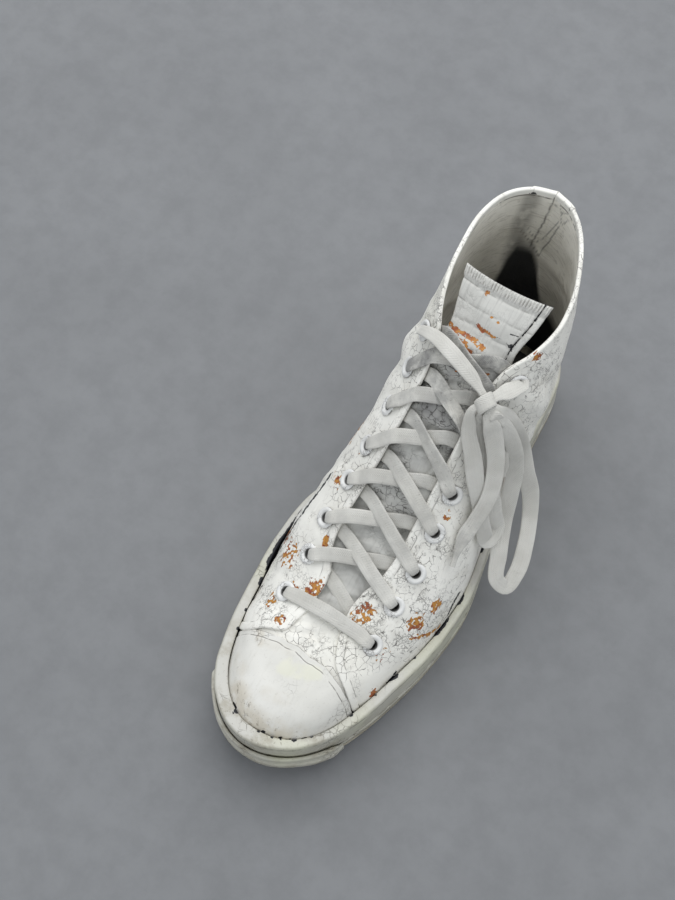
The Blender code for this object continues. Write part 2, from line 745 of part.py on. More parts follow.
def tongue_bridge(left, right, count=9):
    """Shallow arch over the throat between the ends of two rib curves."""
    span = np.linalg.norm(right[-1] - left[-1])
    leave = (left[-1] - left[-2]) / np.linalg.norm(left[-1] - left[-2])
    arrive = (right[-2] - right[-1]) / np.linalg.norm(right[-2] - right[-1])
    part = np.linspace(0.0, 1.0, count)[1:-1, None]
    pull = TONGUE_CROWN * span
    return (
        left[-1] * (1 + 2 * part) * (1 - part) ** 2
        + leave * pull * part * (1 - part) ** 2
        + right[-1] * part ** 2 * (3 - 2 * part)
        + arrive * pull * part ** 2 * (part - 1)
    )


def tongue_rows():
    """Rows of the tongue's front face, from the vamp to its free top edge."""
    rows = []
    for turn in np.concatenate([[VAMP_END_TURN + 0.0018], np.linspace(0.330, 0.590, 11)]):
        tuck = spline(TONGUE_TUCK, 1, turn)
        drop = spline(TONGUE_TUCK, 2, turn) * (UPPER_WALL + LACE_THICK + 4 * GAP)
        shares = np.linspace(tuck, 1.0, 5)
        left = upper_offset(-turn, shares, np.full(5, -drop))
        right = upper_offset(turn, shares, np.full(5, -drop))
        across = np.concatenate([left, tongue_bridge(left, right), right[::-1]])
        rows.append(evenly(across, TONGUE_COLUMNS))
    part = np.linspace(-1.0, 1.0, TONGUE_COLUMNS)
    for back, height, inner, outer, curl in TONGUE_TOP:
        x = (inner + (outer - inner) * (part + 1) / 2) * BALL_WIDTH
        y = back * SOLE_LENGTH + curl * BALL_WIDTH * part ** 2
        z = height * COLLAR_HEIGHT - 0.5 * curl * BALL_WIDTH * part ** 2
        rows.append(np.stack([x, y, z], axis=1))
    return np.stack(rows)


def make_tongue(finish):
    """Padded strip under the throat, joined to the vamp in the real shoe."""
    front = tongue_rows()
    back = front - grid_normals(front) * TONGUE_THICK
    return shell("tongue", front, back, finish)


def eyelet_place(side, index):
    """Turn and share of an eyelet's centre on the upper."""
    back, outer, inner = EYELETS[index]
    across = outer if side > 0 else -inner
    return locate(side, across * BALL_WIDTH, back * SOLE_LENGTH)


def eyelet_frame(side, index):
    """Matrix with its origin on the upper and its Z axis out of it."""
    turn, share = eyelet_place(side, index)
    centre = Vector(upper_surface(turn, share))
    outward = Vector(upper_normal(turn, share))
    turned = outward.to_track_quat("Z", "Y").to_matrix().to_4x4()
    return Matrix.Translation(centre) @ turned


def turned_ring(name, profile, segments, frame, finish):
    """Profile of (radius, height) pairs turned about the frame's Z axis."""
    angles = np.linspace(0.0, 2 * math.pi, segments, endpoint=False)
    radius, height = np.array(profile).T
    x = np.cos(angles)[:, None] * radius[None, :]
    y = np.sin(angles)[:, None] * radius[None, :]
    z = np.broadcast_to(height, x.shape)
    made = swept_ring(name, np.stack([x, y, z], axis=-1), finish)
    made.data.transform(frame)
    return made


def make_eyelets(finish):
    """Turned metal rings, eight on each side, numbered from the toe."""
    made = []
    barrel = EYELET_BORE + EYELET_BARREL
    profile = (
        (EYELET_BORE, -UPPER_WALL - GAP),
        (barrel, -UPPER_WALL - GAP),
        (barrel, EYELET_SEAT),
        (EYELET_RADIUS, EYELET_SEAT),
        (0.88 * EYELET_RADIUS, EYELET_SEAT + EYELET_FLANGE),
        (EYELET_BORE, EYELET_SEAT + 0.6 * EYELET_FLANGE),
    )
    for side, label in ((1, "lateral"), (-1, "medial")):
        for index in range(len(EYELETS)):
            name = f"eyelet_{label}_{index + 1}"
            made.append(turned_ring(name, profile, 9, eyelet_frame(side, index), finish))
    return made


def make_punches(finish):
    """Guide for the eyelet holes: one short cylinder for each eyelet."""
    radius = EYELET_BORE + EYELET_BARREL + GAP
    depth = 2 * (UPPER_WALL + LAYER_STEP) + 4 * GAP
    bm = bmesh.new()
    for side in (1, -1):
        for index in range(len(EYELETS)):
            bmesh.ops.create_cone(
                bm, cap_ends=True, segments=9, radius1=radius, radius2=radius,
                depth=2 * depth, matrix=eyelet_frame(side, index),
            )
    return add_object("eyelet_punches", bm, finish)


def throat_edge(side):
    """Half width of the throat over y, along the quarter's edge: arrays y, x."""
    column = 1 if side > 0 else 2
    front = np.linspace(-0.30, -0.21, 10)
    front_x = spline(QUARTER_EDGE, column, front) * BALL_WIDTH
    turns = np.linspace(THROAT_TURN, 0.63, 60)
    tops = upper_top(side * turns)
    y = np.concatenate([front * SOLE_LENGTH, tops[:, 1]])
    x = np.concatenate([side * front_x, tops[:, 0]])
    order = np.argsort(y)
    return y[order], x[order]


def edge_crossing(side, start, end):
    """Share of the plan line from start to end at which it crosses the throat edge."""
    y, x = throat_edge(side)
    part = np.linspace(0.0, 1.0, 400)
    line = start[None, :2] + (end - start)[None, :2] * part[:, None]
    open_here = side * line[:, 0] < side * np.interp(line[:, 1], y, x)
    found = part[open_here]
    return float(found[0] if side * start[0] > 0 else found[-1])


def on_upper(side, plan, lift):
    """Point of the upper above this place in plan, moved out by lift; and its normal."""
    turn, share = locate(side, float(plan[0]), float(plan[1]))
    share = min(share, 1.0)
    normal = upper_normal(turn, share)
    return upper_surface(turn, share) + normal * lift, normal


def lace_route(ends, raised):
    """Route of one run of lace between two eyelets, with its upward directions.

    Each end is (side, eyelet index, over), where over is 1 above the quarter, -1
    under it and 0 where the run stops short of its edge.
    """
    centres = [upper_surface(*eyelet_place(side, index)) for side, index, _ in ends]
    span = np.linalg.norm((centres[1] - centres[0])[:2])
    halves = []
    for (side, index, over), here, there in zip(ends, centres, centres[::-1]):
        crossing = edge_crossing(side, here, there)
        toward = (there - here)[:2]
        if over > 0:
            stops = ((EYELET_RADIUS + 2 * GAP) / span, crossing)
            lift = RIM_RAISE + 2 * GAP + 0.5 * LACE_THICK
        elif over < 0:
            stops = (crossing - LACE_TUCK / span, crossing)
            lift = -(UPPER_WALL + 2 * GAP + 0.5 * LACE_THICK)
        else:
            stops = (crossing, crossing)
            lift = -LAYER_STEP + 2 * GAP + 0.5 * LACE_THICK
        points = []
        normals = []
        for stop in stops:
            point, normal = on_upper(side, here[:2] + toward * stop, lift)
            points.append(point)
            normals.append(normal)
        if over == 0:
            onward = (there - here) / np.linalg.norm(there - here)
            points = [points[0] + onward * reach * LACE_WIDTH for reach in (0.5, 0.7)]
        else:
            onward = points[1] - points[0]
            onward = onward / np.linalg.norm(onward)
        points.append(points[1] + onward * 0.3 * LACE_WIDTH)
        normals.append(normals[1])
        halves.append((points, normals))
    middle = (halves[0][0][-1] + halves[1][0][-1]) / 2 + np.array([0.0, 0.0, raised])
    upward = halves[0][1][-1] + halves[1][1][-1]
    points = halves[0][0] + [middle] + halves[1][0][::-1]
    normals = halves[0][1] + [upward / np.linalg.norm(upward)] + halves[1][1][::-1]
    return np.array(points), np.array(normals)


def make_run(name, ends, raised, finish):
    """One run of flat lace as a rectangular strip along its route."""
    points, normals = lace_route(ends, raised)
    count = 9
    path = curve_through(points, count)
    steps = np.linalg.norm(np.diff(points, axis=0), axis=1)
    along = np.concatenate([[0.0], np.cumsum(steps)])
    wanted = np.linspace(0.0, along[-1], count)
    upward = np.stack([np.interp(wanted, along, normals[:, axis]) for axis in range(3)], axis=1)
    tangent = np.gradient(path, axis=0)
    across = np.cross(tangent, upward)
    across = across / np.linalg.norm(across, axis=1, keepdims=True) * 0.5 * LACE_WIDTH
    upward = np.cross(across, tangent)
    upward = upward / np.linalg.norm(upward, axis=1, keepdims=True) * 0.5 * LACE_THICK
    sections = np.stack([
        path - across - upward, path + across - upward,
        path + across + upward, path - across + upward,
    ], axis=1)
    return swept_strip(name, sections, finish)


def make_laces(finish):
    """The straight bar at the toe, one hidden-end run, and six joined crossings."""
    make_run("lace_bar", ((-1, 0, 1), (1, 0, 1)), 2 * GAP, finish)
    make_run("lace_run_1", ((1, 0, 0), (-1, 1, 0)), 0.0, finish)
    for level in range(1, 7):
        lower = make_run(
            f"lace_under_{level + 1}", ((-1, level, 1), (1, level + 1, -1)), 0.0, finish,
        )
        crossing = make_run(
            f"lace_cross_{level + 1}", ((1, level, 1), (-1, level + 1, -1)),
            LACE_THICK - GAP, finish,
        )
        boolean(crossing, lower, "UNION")


def make_cord(name, points, diameter, finish):
    """Round cord along a smooth curve through hand-chosen points."""
    length = np.sum(np.linalg.norm(np.diff(np.array(points), axis=0), axis=1))
    count = max(3, round(length / (2.9 * diameter)) + 1)
    path = curve_through(points, count)
    curve = bpy.data.curves.new(name, "CURVE")
    curve.dimensions = "3D"
    curve.bevel_depth = diameter / 2
    curve.bevel_resolution = 2
    curve.use_fill_caps = True
    line = curve.splines.new("POLY")
    line.points.add(count - 1)
    line.points.foreach_set("co", np.column_stack([path, np.ones(count)]).ravel())
    curve.materials.append(finish)
    made = bpy.data.objects.new(name, curve)
    bpy.context.collection.objects.link(made)


def make_bow(finish):
    """Knot, leads, loops and free ends as cords."""
    for name, points in BOW.items():
        diameter = KNOT_DIAMETER if name == "lace_knot" else CORD_DIAMETER
        make_cord(name, points, diameter, finish)


def main():
    """Build every piece of the shoe."""
    for old in list(bpy.data.objects):
        bpy.data.objects.remove(old)
    sole_rubber = material("sole_rubber", (0.62, 0.58, 0.46), 0.7)
    band_rubber = material("band_rubber", (0.72, 0.70, 0.60), 0.6)
    cap_rubber = material("cap_rubber", (0.80, 0.78, 0.72), 0.55)
    painted_leather = material("painted_leather", (0.80, 0.79, 0.77), 0.75)
    tongue_leather = material("tongue_leather", (0.70, 0.69, 0.68), 0.8)
    footbed_cloth = material("footbed_cloth", (0.12, 0.12, 0.13), 0.9)
    painted_metal = material("painted_metal", (0.85, 0.84, 0.82), 0.5, 0.4)
    lace_cotton = material("lace_cotton", (0.78, 0.76, 0.70), 0.95)
    make_outsole(sole_rubber)
    make_foxing(band_rubber)
    make_bumper(band_rubber)
    make_insole(footbed_cloth)
    upper = make_quarters(painted_leather)
    vamp = make_vamp(painted_leather)
    punches = make_punches(painted_metal)
    boolean(vamp, punches, "DIFFERENCE")
    boolean(upper, quarter_opening(painted_leather), "DIFFERENCE")
    boolean(upper, punches, "DIFFERENCE")
    boolean(upper, vamp, "UNION")
    make_cap(cap_rubber)
    make_tongue(tongue_leather)
    make_eyelets(painted_metal)
    make_laces(lace_cotton)
    make_bow(lace_cotton)


if __name__ == "__main__":
    main()
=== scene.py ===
"""Worn high-top sneaker for the left foot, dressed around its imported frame.

Axes are the frame's: the toe points to -Y, the heel to +Y, +X is the outer side and
+Z is up. Lengths are metres. A place on the upper is given by its turn, 0 at the toe
and +1 or -1 at the heel (positive on the outer side), and its share, 0 at the foot
of a rib and 1 at its top.
"""

import math

import bmesh
import bpy
import numpy as np
from bpy.props import FloatProperty, FloatVectorProperty, IntProperty, PointerProperty
from bpy.types import Operator, Panel, PropertyGroup
from mathutils import Matrix, Vector


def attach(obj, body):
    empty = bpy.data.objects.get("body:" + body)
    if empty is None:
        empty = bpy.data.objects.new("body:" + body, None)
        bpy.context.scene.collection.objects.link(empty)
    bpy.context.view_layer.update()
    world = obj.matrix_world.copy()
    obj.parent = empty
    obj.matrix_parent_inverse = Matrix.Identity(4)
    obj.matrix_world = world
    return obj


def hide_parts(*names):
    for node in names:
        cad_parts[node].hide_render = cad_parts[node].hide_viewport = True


bl_info = {
    "name": "Worn High-Top Sneaker",
    "version": (1, 0, 0),
    "blender": (4, 5, 0),
    "location": "3D View > Sidebar > Sneaker",
    "description": "Builds a painted and worn high-top sneaker around its frame",
    "category": "Add Mesh",
}

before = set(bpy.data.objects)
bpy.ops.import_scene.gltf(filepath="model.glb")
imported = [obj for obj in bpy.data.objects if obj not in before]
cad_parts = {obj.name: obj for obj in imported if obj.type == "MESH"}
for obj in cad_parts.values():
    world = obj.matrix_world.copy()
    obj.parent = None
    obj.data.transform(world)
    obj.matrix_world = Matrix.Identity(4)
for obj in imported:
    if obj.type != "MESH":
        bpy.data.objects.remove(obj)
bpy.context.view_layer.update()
# Driving sizes of the sole
SOLE_LENGTH = 0.293
BALL_WIDTH = 0.1055
HEEL_WIDTH = 0.074
TOE_SPRING = 0.0123
OUTSOLE_THICK = 0.005
OUTSOLE_LIP = 0.0005
ARCH_HOLLOW = 0.0012
FOXING_WALL = 0.0032
TOE_EXTRA_WALL = 0.0018
FOXING_HEIGHT = 0.032
STRIPE_HEIGHT = 0.0035
BUMPER_THICK = 0.0026
BUMPER_HEIGHT = 0.0165
BUMPER_REACH = 0.205

# Driving sizes of the upper and what is inside it
COLLAR_HEIGHT = 0.152
UPPER_WALL = 0.0019
LAYER_STEP = 0.0015
RIM_WIDTH = 0.0042
RIM_RAISE = 0.0004
HEEL_STRIP_WIDTH = 0.024
HEEL_STRIP_RAISE = 0.0006
CAP_THICK = 0.0014
INSOLE_THICK = 0.0045
TONGUE_THICK = 0.0022
LACE_WIDTH = 0.0076
LACE_THICK = 0.0013
EYELET_RADIUS = 0.0056
EYELET_BORE = 0.0026
EYELET_FLANGE = 0.0008
EYELET_BARREL = 0.0007
EYELET_SEAT = 0.0006

# Clearance between pieces that meet
GAP = 0.0003

# Plan of the sole, from heel (station 0) to toe (station 1). The centre is a share
# of the ball width, the fullness a share of the local width over a half circle.
SOLE_PLAN = (
    # station, centre, fullness
    (0.0, -0.005, 0.935),
    (0.06, -0.007, 0.85),
    (0.15, -0.008, 0.678),
    (0.3, 0.003, 0.552),
    (0.45, 0.024, 0.478),
    (0.6, 0.021, 0.511),
    (0.7, 0.006, 0.533),
    (0.8, -0.009, 0.553),
    (0.87, -0.016, 0.58),
    (0.93, -0.023, 0.618),
    (0.97, -0.026, 0.637),
    (1.0, -0.028, 0.645),
)
HEEL_END_STATION = 0.2
BALL_START_STATION = 0.6
SPRING_STATION = 0.66
ARCH_STATIONS = (0.29, 0.33, 0.43, 0.47)

# Top of each rib of the upper, from the toe (turn 0) to the back of the heel
# (turn 1). Centre and spread are shares of the ball width, back a share of the
# sole length, height and tilt shares of the collar height. The spread is the
# half width of the throat or collar and tilt lifts the inner (medial) side.
UPPER_TOP = (
    # turn, centre, spread, back, height, tilt
    (0.0, -0.008, 0.0, -0.29, 0.364, 0.0),
    (0.1, -0.006, 0.0, -0.286, 0.366, 0.0),
    (0.2, -0.002, 0.0, -0.277, 0.374, 0.0),
    (0.27, 0.002, 0.0, -0.266, 0.384, 0.0),
    (0.312, 0.004, 0.0, -0.251, 0.3955, 0.0),
    (0.342, 0.005, 0.03, -0.23, 0.408, 0.001),
    (0.371, 0.002, 0.092, -0.194, 0.428, 0.004),
    (0.41, -0.004, 0.15, -0.142, 0.478, 0.007),
    (0.445, 0.003, 0.152, -0.077, 0.556, 0.012),
    (0.474, 0.011, 0.147, -0.021, 0.638, 0.012),
    (0.5, 0.017, 0.144, 0.027, 0.72, 0.011),
    (0.526, 0.02, 0.142, 0.075, 0.795, 0.008),
    (0.555, 0.021, 0.147, 0.123, 0.866, 0.008),
    (0.59, 0.024, 0.172, 0.167, 0.934, 0.01),
    (0.629, 0.034, 0.238, 0.209, 0.983, 0.011),
    (0.675, 0.032, 0.284, 0.263, 1.008, 0.013),
    (0.725, 0.012, 0.292, 0.324, 1.01, 0.01),
    (0.785, -0.021, 0.272, 0.386, 1.006, 0.006),
    (0.85, -0.045, 0.218, 0.444, 1.002, 0.002),
    (0.925, -0.05, 0.122, 0.484, 1.003, 0.0),
    (1.0, -0.04, 0.0, 0.499, 1.007, 0.0),
)

# Bend of each rib. Rise and swell place the lower handle (a share of the rib's
# height, and of the ball width outwards), slope is the fall of the upper handle
# in degrees and reach its length as a share of the rib's chord.
UPPER_BEND = (
    # turn, rise, swell, slope, reach
    (0.0, 0.62, 0.004, 7.0, 0.62),
    (0.15, 0.66, 0.006, 7.0, 0.58),
    (0.27, 0.7, 0.008, 8.0, 0.5),
    (0.342, 0.66, 0.006, 13.0, 0.44),
    (0.41, 0.6, 0.0, 20.0, 0.4),
    (0.474, 0.55, -0.006, 32.0, 0.36),
    (0.526, 0.5, -0.01, 42.0, 0.34),
    (0.59, 0.44, -0.006, 50.0, 0.34),
    (0.675, 0.38, 0.0, 76.0, 0.36),
    (0.785, 0.36, 0.01, 86.0, 0.34),
    (0.9, 0.34, 0.02, 96.0, 0.34),
    (1.0, 0.34, 0.022, 99.0, 0.34),
)

# Sides of the tongue: how far up the rib it is tucked in, and how deep its face
# lies, as a share of the room that the upper's wall and one lace take.
TONGUE_TUCK = (
    # turn, tuck, depth
    (0.3, 0.6, 0.58),
    (0.35, 0.72, 0.7),
    (0.4, 0.8, 1.0),
    (0.5, 0.84, 1.0),
    (0.55, 0.9, 1.0),
    (0.6, 0.95, 1.0),
)
# Free top of the tongue above the throat.
TONGUE_TOP = (
    # back (share of sole length), height (of collar), inner, outer, curl (of ball width)
    (0.197, 0.95, -0.14, 0.205, 0.02),
    (0.234, 0.998, -0.168, 0.232, 0.026),
    (0.274, 1.047, -0.194, 0.25, 0.03),
)
TONGUE_COLUMNS = 11
TONGUE_CROWN = 0.5
LACE_TUCK = 0.0035

# Eyelets of one side, front to top.
EYELETS = (
    # back (share of sole length), outer, inner (shares of ball width)
    (-0.253, 0.253, 0.242),
    (-0.182, 0.251, 0.232),
    (-0.121, 0.263, 0.241),
    (-0.054, 0.25, 0.23),
    (0.004, 0.24, 0.226),
    (0.069, 0.236, 0.222),
    (0.128, 0.25, 0.218),
    (0.178, 0.267, 0.222),
)
EACH_EYELET = [(side, index) for side in (1, -1) for index in range(len(EYELETS))]

# Routes of the bow: the knot, the leads from the top eyelets, two
# loops and two free ends, which hang down the outer side. Metres.
BOW = {
    "lace_knot": (
        (0.018, 0.0345, 0.1392), (0.0208, 0.0325, 0.138), (0.0236, 0.0305, 0.1365),
    ),
    "lace_lead_medial": (
        (-0.025, 0.05, 0.1382), (-0.0208, 0.0476, 0.144), (-0.014, 0.0452, 0.1482),
        (-0.005, 0.042, 0.149), (0.005, 0.039, 0.1465), (0.014, 0.0365, 0.142),
    ),
    "lace_lead_lateral": (
        (0.0312, 0.0512, 0.135), (0.0287, 0.0475, 0.1362), (0.0262, 0.043, 0.1372),
        (0.0235, 0.038, 0.1382),
    ),
    "lace_loop_large": (
        (0.028, 0.0345, 0.133), (0.0335, 0.038, 0.122), (0.0385, 0.0405, 0.108),
        (0.0425, 0.0425, 0.09), (0.0485, 0.0395, 0.075), (0.0545, 0.037, 0.062),
        (0.0595, 0.03, 0.0525), (0.065, 0.017, 0.046), (0.0685, 0.0015, 0.0415),
        (0.0675, -0.007, 0.04), (0.0625, -0.008, 0.044), (0.0565, 0.002, 0.052),
        (0.0505, 0.015, 0.06), (0.0475, 0.024, 0.072), (0.043, 0.033, 0.092),
        (0.039, 0.0345, 0.1075), (0.0335, 0.0335, 0.1205), (0.0295, 0.0315, 0.128),
    ),
    "lace_loop_small": (
        (0.0172, 0.0272, 0.136), (0.019, 0.0222, 0.128), (0.0262, 0.016, 0.1142),
        (0.0322, 0.0108, 0.1015), (0.0385, 0.0065, 0.088), (0.0445, 0.002, 0.074),
        (0.049, 0.002, 0.063), (0.0495, 0.007, 0.064), (0.0455, 0.011, 0.076),
        (0.04, 0.015, 0.089), (0.033, 0.0196, 0.105), (0.0265, 0.0242, 0.118),
        (0.023, 0.0262, 0.126),
    ),
    "lace_end_long": (
        (0.0255, 0.0286, 0.133), (0.0312, 0.0262, 0.1215), (0.0378, 0.0195, 0.106),
        (0.0412, 0.01, 0.094), (0.0405, -0.001, 0.084), (0.0395, -0.01, 0.0777),
        (0.0402, -0.017, 0.0722), (0.0412, -0.022, 0.0682),
    ),
    "lace_end_short": (
        (0.0256, 0.0308, 0.1275), (0.0274, 0.0304, 0.122), (0.0312, 0.03, 0.1135),
        (0.0362, 0.0272, 0.1015), (0.0396, 0.023, 0.0915),
    ),
}

# Turns where the throat's edge begins and where the vamp ends
THROAT_TURN = 0.372
VAMP_END_TURN = 0.312

# Front edge of the quarters, as a turn on the outer and the inner side at each share.
QUARTER_FRONT = (
    # share, outer, inner
    (0.0, 0.24, 0.262), (0.3, 0.232, 0.25), (0.45, 0.221, 0.23), (0.58, 0.21, 0.214),
    (0.7, 0.198, 0.2), (0.78, 0.195, 0.184), (0.82, 0.205, 0.176), (0.84, 0.225, 0.177),
    (0.86, 0.25, 0.188), (0.872, 0.27, 0.215), (0.88, 0.295, 0.262), (0.89, 0.312, 0.305),
    (0.91, 0.326, 0.332), (0.94, 0.341, 0.347), (0.97, 0.355, 0.358), (1.0, 0.372, 0.372),
)

# Rear edge of the toe cap: share at each turn.
CAP_REAR = (
    (-0.252, 0.22), (-0.237, 0.41), (-0.202, 0.64), (-0.165, 0.78), (-0.1, 0.87), (0.0, 0.91),
    (0.06, 0.885), (0.115, 0.85), (0.172, 0.74), (0.205, 0.57), (0.225, 0.38), (0.236, 0.18),
)
# Where the upper goes behind the foxing: share at each turn.
FOXING_TOP = (
    (0.0, 0.358), (0.1, 0.333), (0.2, 0.283), (0.25, 0.264), (0.3, 0.252),
    (0.4, 0.223), (0.6, 0.132), (0.8, 0.151), (1.0, 0.151),
)

# Fullness of the cap over its foot, its lower band at the rear, and the cylinders
# that cut the lace holes
TOE_FILL = 0.0044
CAP_BAND = 0.0031
HOLE_RADIUS = 0.0034
HOLE_DEPTH = 0.012

# Rough lengths of a quarter and of a rib of the cap, which space the points near an
# edge, and how far the paint turns in over the edges
QUARTER_LENGTH = 0.25
CAP_RIB_LENGTH = 0.055
COLLAR_TURN_IN = 0.0035
TONGUE_TURN_IN = 0.0025

# Radius of the rounded edges, and share of a rib at which the quarters begin
WALL_ROUND = 0.0009
CAP_ROUND = 0.00045
TONGUE_ROUND = 0.001
LOW_SHARE = 0.05

# Points that draw each piece, in rows and columns where two are given
VAMP_GRID = (96, 181)
CAP_GRID = (84, 260)
FOXING_COLUMNS = 720
BUMPER_COLUMNS = 300
SOLE_GRID = (340, 110)
FOOTBED_GRID = (150, 50)
TONGUE_GRID = (240, 132)
RING_CORNERS = 56
RIBBON_CORNERS = 18
RUN_POINTS = 110
BOW_POINTS = 420
WRAP_POINTS = 72

# Distances from a free edge at which a wall has its first points.
EDGE_STEPS = (
    0.0, 0.00008, 0.00022, 0.00045, 0.00075, 0.0011, 0.0017, 0.0024, 0.0031, 0.0037, 0.0041,
    0.0045, 0.0051, 0.006, 0.0073,
)

# Creases of the upper: depth (a ridge is negative), width, and places (turn, share).
CREASES = (
    (0.0005, 0.0022, ((0.3, 0.93), (0.33, 0.8), (0.352, 0.62), (0.362, 0.45))),
    (0.0004, 0.002, ((0.352, 0.96), (0.372, 0.8), (0.38, 0.62), (0.382, 0.4))),
    (0.0005, 0.0026, ((0.398, 0.93), (0.412, 0.74), (0.418, 0.56), (0.42, 0.36))),
    (0.0004, 0.0022, ((0.437, 0.93), (0.446, 0.72), (0.448, 0.5))),
    (0.0006, 0.0034, ((0.48, 0.9), (0.486, 0.66), (0.492, 0.44), (0.5, 0.3))),
    (-0.0006, 0.006, ((0.515, 0.86), (0.525, 0.62), (0.54, 0.4))),
    (0.0008, 0.005, ((0.56, 0.96), (0.585, 0.74), (0.625, 0.55), (0.69, 0.42))),
    (0.0007, 0.005, ((0.61, 0.92), (0.66, 0.72), (0.72, 0.6), (0.8, 0.52))),
    (-0.0007, 0.007, ((0.6, 0.78), (0.66, 0.58), (0.74, 0.48))),
    (0.0006, 0.005, ((0.76, 0.84), (0.84, 0.72), (0.93, 0.66), (1.0, 0.66))),
    (0.0004, 0.002, ((-0.262, 0.82), (-0.29, 0.6), (-0.31, 0.38))),
    (0.0005, 0.0024, ((-0.33, 0.93), (-0.345, 0.74), (-0.352, 0.52), (-0.356, 0.34))),
    (0.0005, 0.0024, ((-0.374, 0.94), (-0.384, 0.74), (-0.388, 0.5))),
    (0.0005, 0.0026, ((-0.415, 0.92), (-0.422, 0.7), (-0.424, 0.44))),
    (0.0006, 0.0034, ((-0.465, 0.92), (-0.47, 0.7), (-0.478, 0.42))),
    (0.0008, 0.005, ((-0.54, 0.94), (-0.57, 0.72), (-0.62, 0.54), (-0.69, 0.42))),
    (0.0007, 0.005, ((-0.6, 0.9), (-0.66, 0.7), (-0.74, 0.58), (-0.82, 0.52))),
    (-0.0007, 0.007, ((-0.59, 0.76), (-0.65, 0.58), (-0.73, 0.46))),
)
# Folds of the vamp between the first eyelets and the cap.
VAMP_CREASES = (
    (0.0003, 0.0012, ((-0.235, 0.84), (-0.225, 0.9), (-0.215, 0.97))),
    (0.0004, 0.0014, ((-0.18, 0.86), (-0.12, 0.95), (-0.06, 0.99))),
    (0.0003, 0.0011, ((0.06, 0.99), (0.11, 0.95), (0.15, 0.9))),
    (0.0005, 0.0018, ((-0.28, 0.93), (-0.29, 0.98), (0.285, 0.97), (0.27, 0.93))),
    (0.0003, 0.0012, ((-0.25, 0.92), (-0.262, 0.99), (0.255, 0.96))),
    (0.0003, 0.001, ((0.1, 0.93), (0.16, 0.985), (0.23, 0.95))),
)

# Places where the paint has come off down to the orange coat: turn, share, reach,
# strength. A strength over 1 clears it wholly.
RUST_SPOTS = (
    (-0.376, 0.62, 0.0085, 0.62), (-0.346, 0.9, 0.006, 0.72), (-0.338, 0.86, 0.003, 0.95),
    (-0.224, 0.77, 0.0032, 0.8), (0.355, 0.89, 0.0062, 0.66), (0.416, 0.53, 0.0042, 0.9),
    (0.387, 0.57, 0.006, 0.74), (0.28, 0.32, 0.0032, 1.0), (0.634, 0.98, 0.003, 0.85),
    (0.538, 0.58, 0.0034, 1.0), (-0.302, 0.59, 0.005, 0.52), (-0.33, 0.72, 0.006, 0.4),
    (0.33, 0.56, 0.005, 0.42), (-0.452, 0.8, 0.0034, 0.85), (-0.48, 0.86, 0.0026, 0.62),
    (-0.52, 0.5, 0.012, 0.6), (-0.64, 0.38, 0.016, 0.66), (-0.4, 0.4, 0.007, 0.62),
    (0.76, 0.34, 0.012, 0.56), (0.88, 0.8, 0.006, 0.55), (0.545, 0.93, 0.003, 0.8),
    (-0.82, 0.3, 0.012, 0.62), (0.47, 0.86, 0.003, 0.6),
)
RUST_LINES = (
    # reach, strength, places
    (0.0017, 1.35, ((-0.389, 0.955), (-0.396, 0.95), (-0.404, 0.952))),
    (0.0016, 0.72, ((0.372, 0.5), (0.38, 0.42), (0.392, 0.34), (0.4, 0.3))),
    (0.002, 0.7, ((0.384, 0.2), (0.394, 0.24), (0.408, 0.27))),
)
# Places on the upper where black shows: reach, strength, places.
BLACK_LINES = (
    (0.0028, 1.2, ((-0.356, 0.25), (-0.38, 0.275), (-0.405, 0.29), (-0.435, 0.28))),
    (0.002, 1.1, ((-0.435, 0.28), (-0.465, 0.26), (-0.49, 0.235), (-0.505, 0.215))),
    (0.0014, 1.1, ((-0.371, 0.3), (-0.388, 0.385), (-0.403, 0.46), (-0.431, 0.58))),
    (0.0011, 1.1, ((-0.431, 0.58), (-0.446, 0.62), (-0.46, 0.66))),
    (0.0016, 0.8, ((-0.3, 0.27), (-0.33, 0.33))),
    (0.0016, 0.85, ((0.424, 0.27), (0.436, 0.3), (0.447, 0.31))),
    (0.0016, 0.75, ((0.318, 0.27), (0.326, 0.29))),
)
# Black gaps where the upper and the cap meet the foxing: turn, half length in turns, width.
JOINT_GAPS = (
    (-0.069, 0.013, 0.0017), (0.023, 0.007, 0.0015), (0.063, 0.005, 0.0013), (0.085, 0.003, 0.001),
    (0.116, 0.008, 0.0015), (0.153, 0.005, 0.0012), (0.235, 0.005, 0.0016), (-0.257, 0.005, 0.0016),
    (0.318, 0.011, 0.003), (0.283, 0.003, 0.0016), (0.356, 0.004, 0.0014), (0.408, 0.022, 0.0034),
    (0.45, 0.013, 0.0022), (0.518, 0.009, 0.0026), (0.569, 0.01, 0.0016), (0.621, 0.006, 0.0016),
    (0.7, 0.012, 0.0014), (-0.289, 0.004, 0.0016), (-0.337, 0.009, 0.0024), (-0.43, 0.062, 0.0024),
    (-0.6, 0.03, 0.0018), (-0.72, 0.012, 0.0014), (0.88, 0.02, 0.0014),
)
# Back seam of the lining at the heel as a dark line, and painted shade along its soft folds: reach,
# strength, places.
LINING_LINES = (
    (0.0004, 0.85, ((1.003, 0.985), (1.015, 0.85), (1.04, 0.69))),
    (0.005, 0.5, ((1.062, 0.96), (1.078, 0.835), (1.087, 0.705), (1.092, 0.6))),
    (0.0004, 0.7, ((1.078, 0.79), (1.045, 0.735), (1.007, 0.67), (0.975, 0.78), (0.952, 0.89))),
    (0.0003, 0.6, ((1.062, 0.81), (1.02, 0.74), (0.99, 0.8), (0.96, 0.9), (0.925, 0.93))),
    (0.0003, 0.5, ((0.99, 0.96), (0.955, 0.95), (0.93, 0.975))),
    (0.0003, 0.5, ((0.975, 0.985), (0.945, 0.9), (0.918, 0.96))),
)
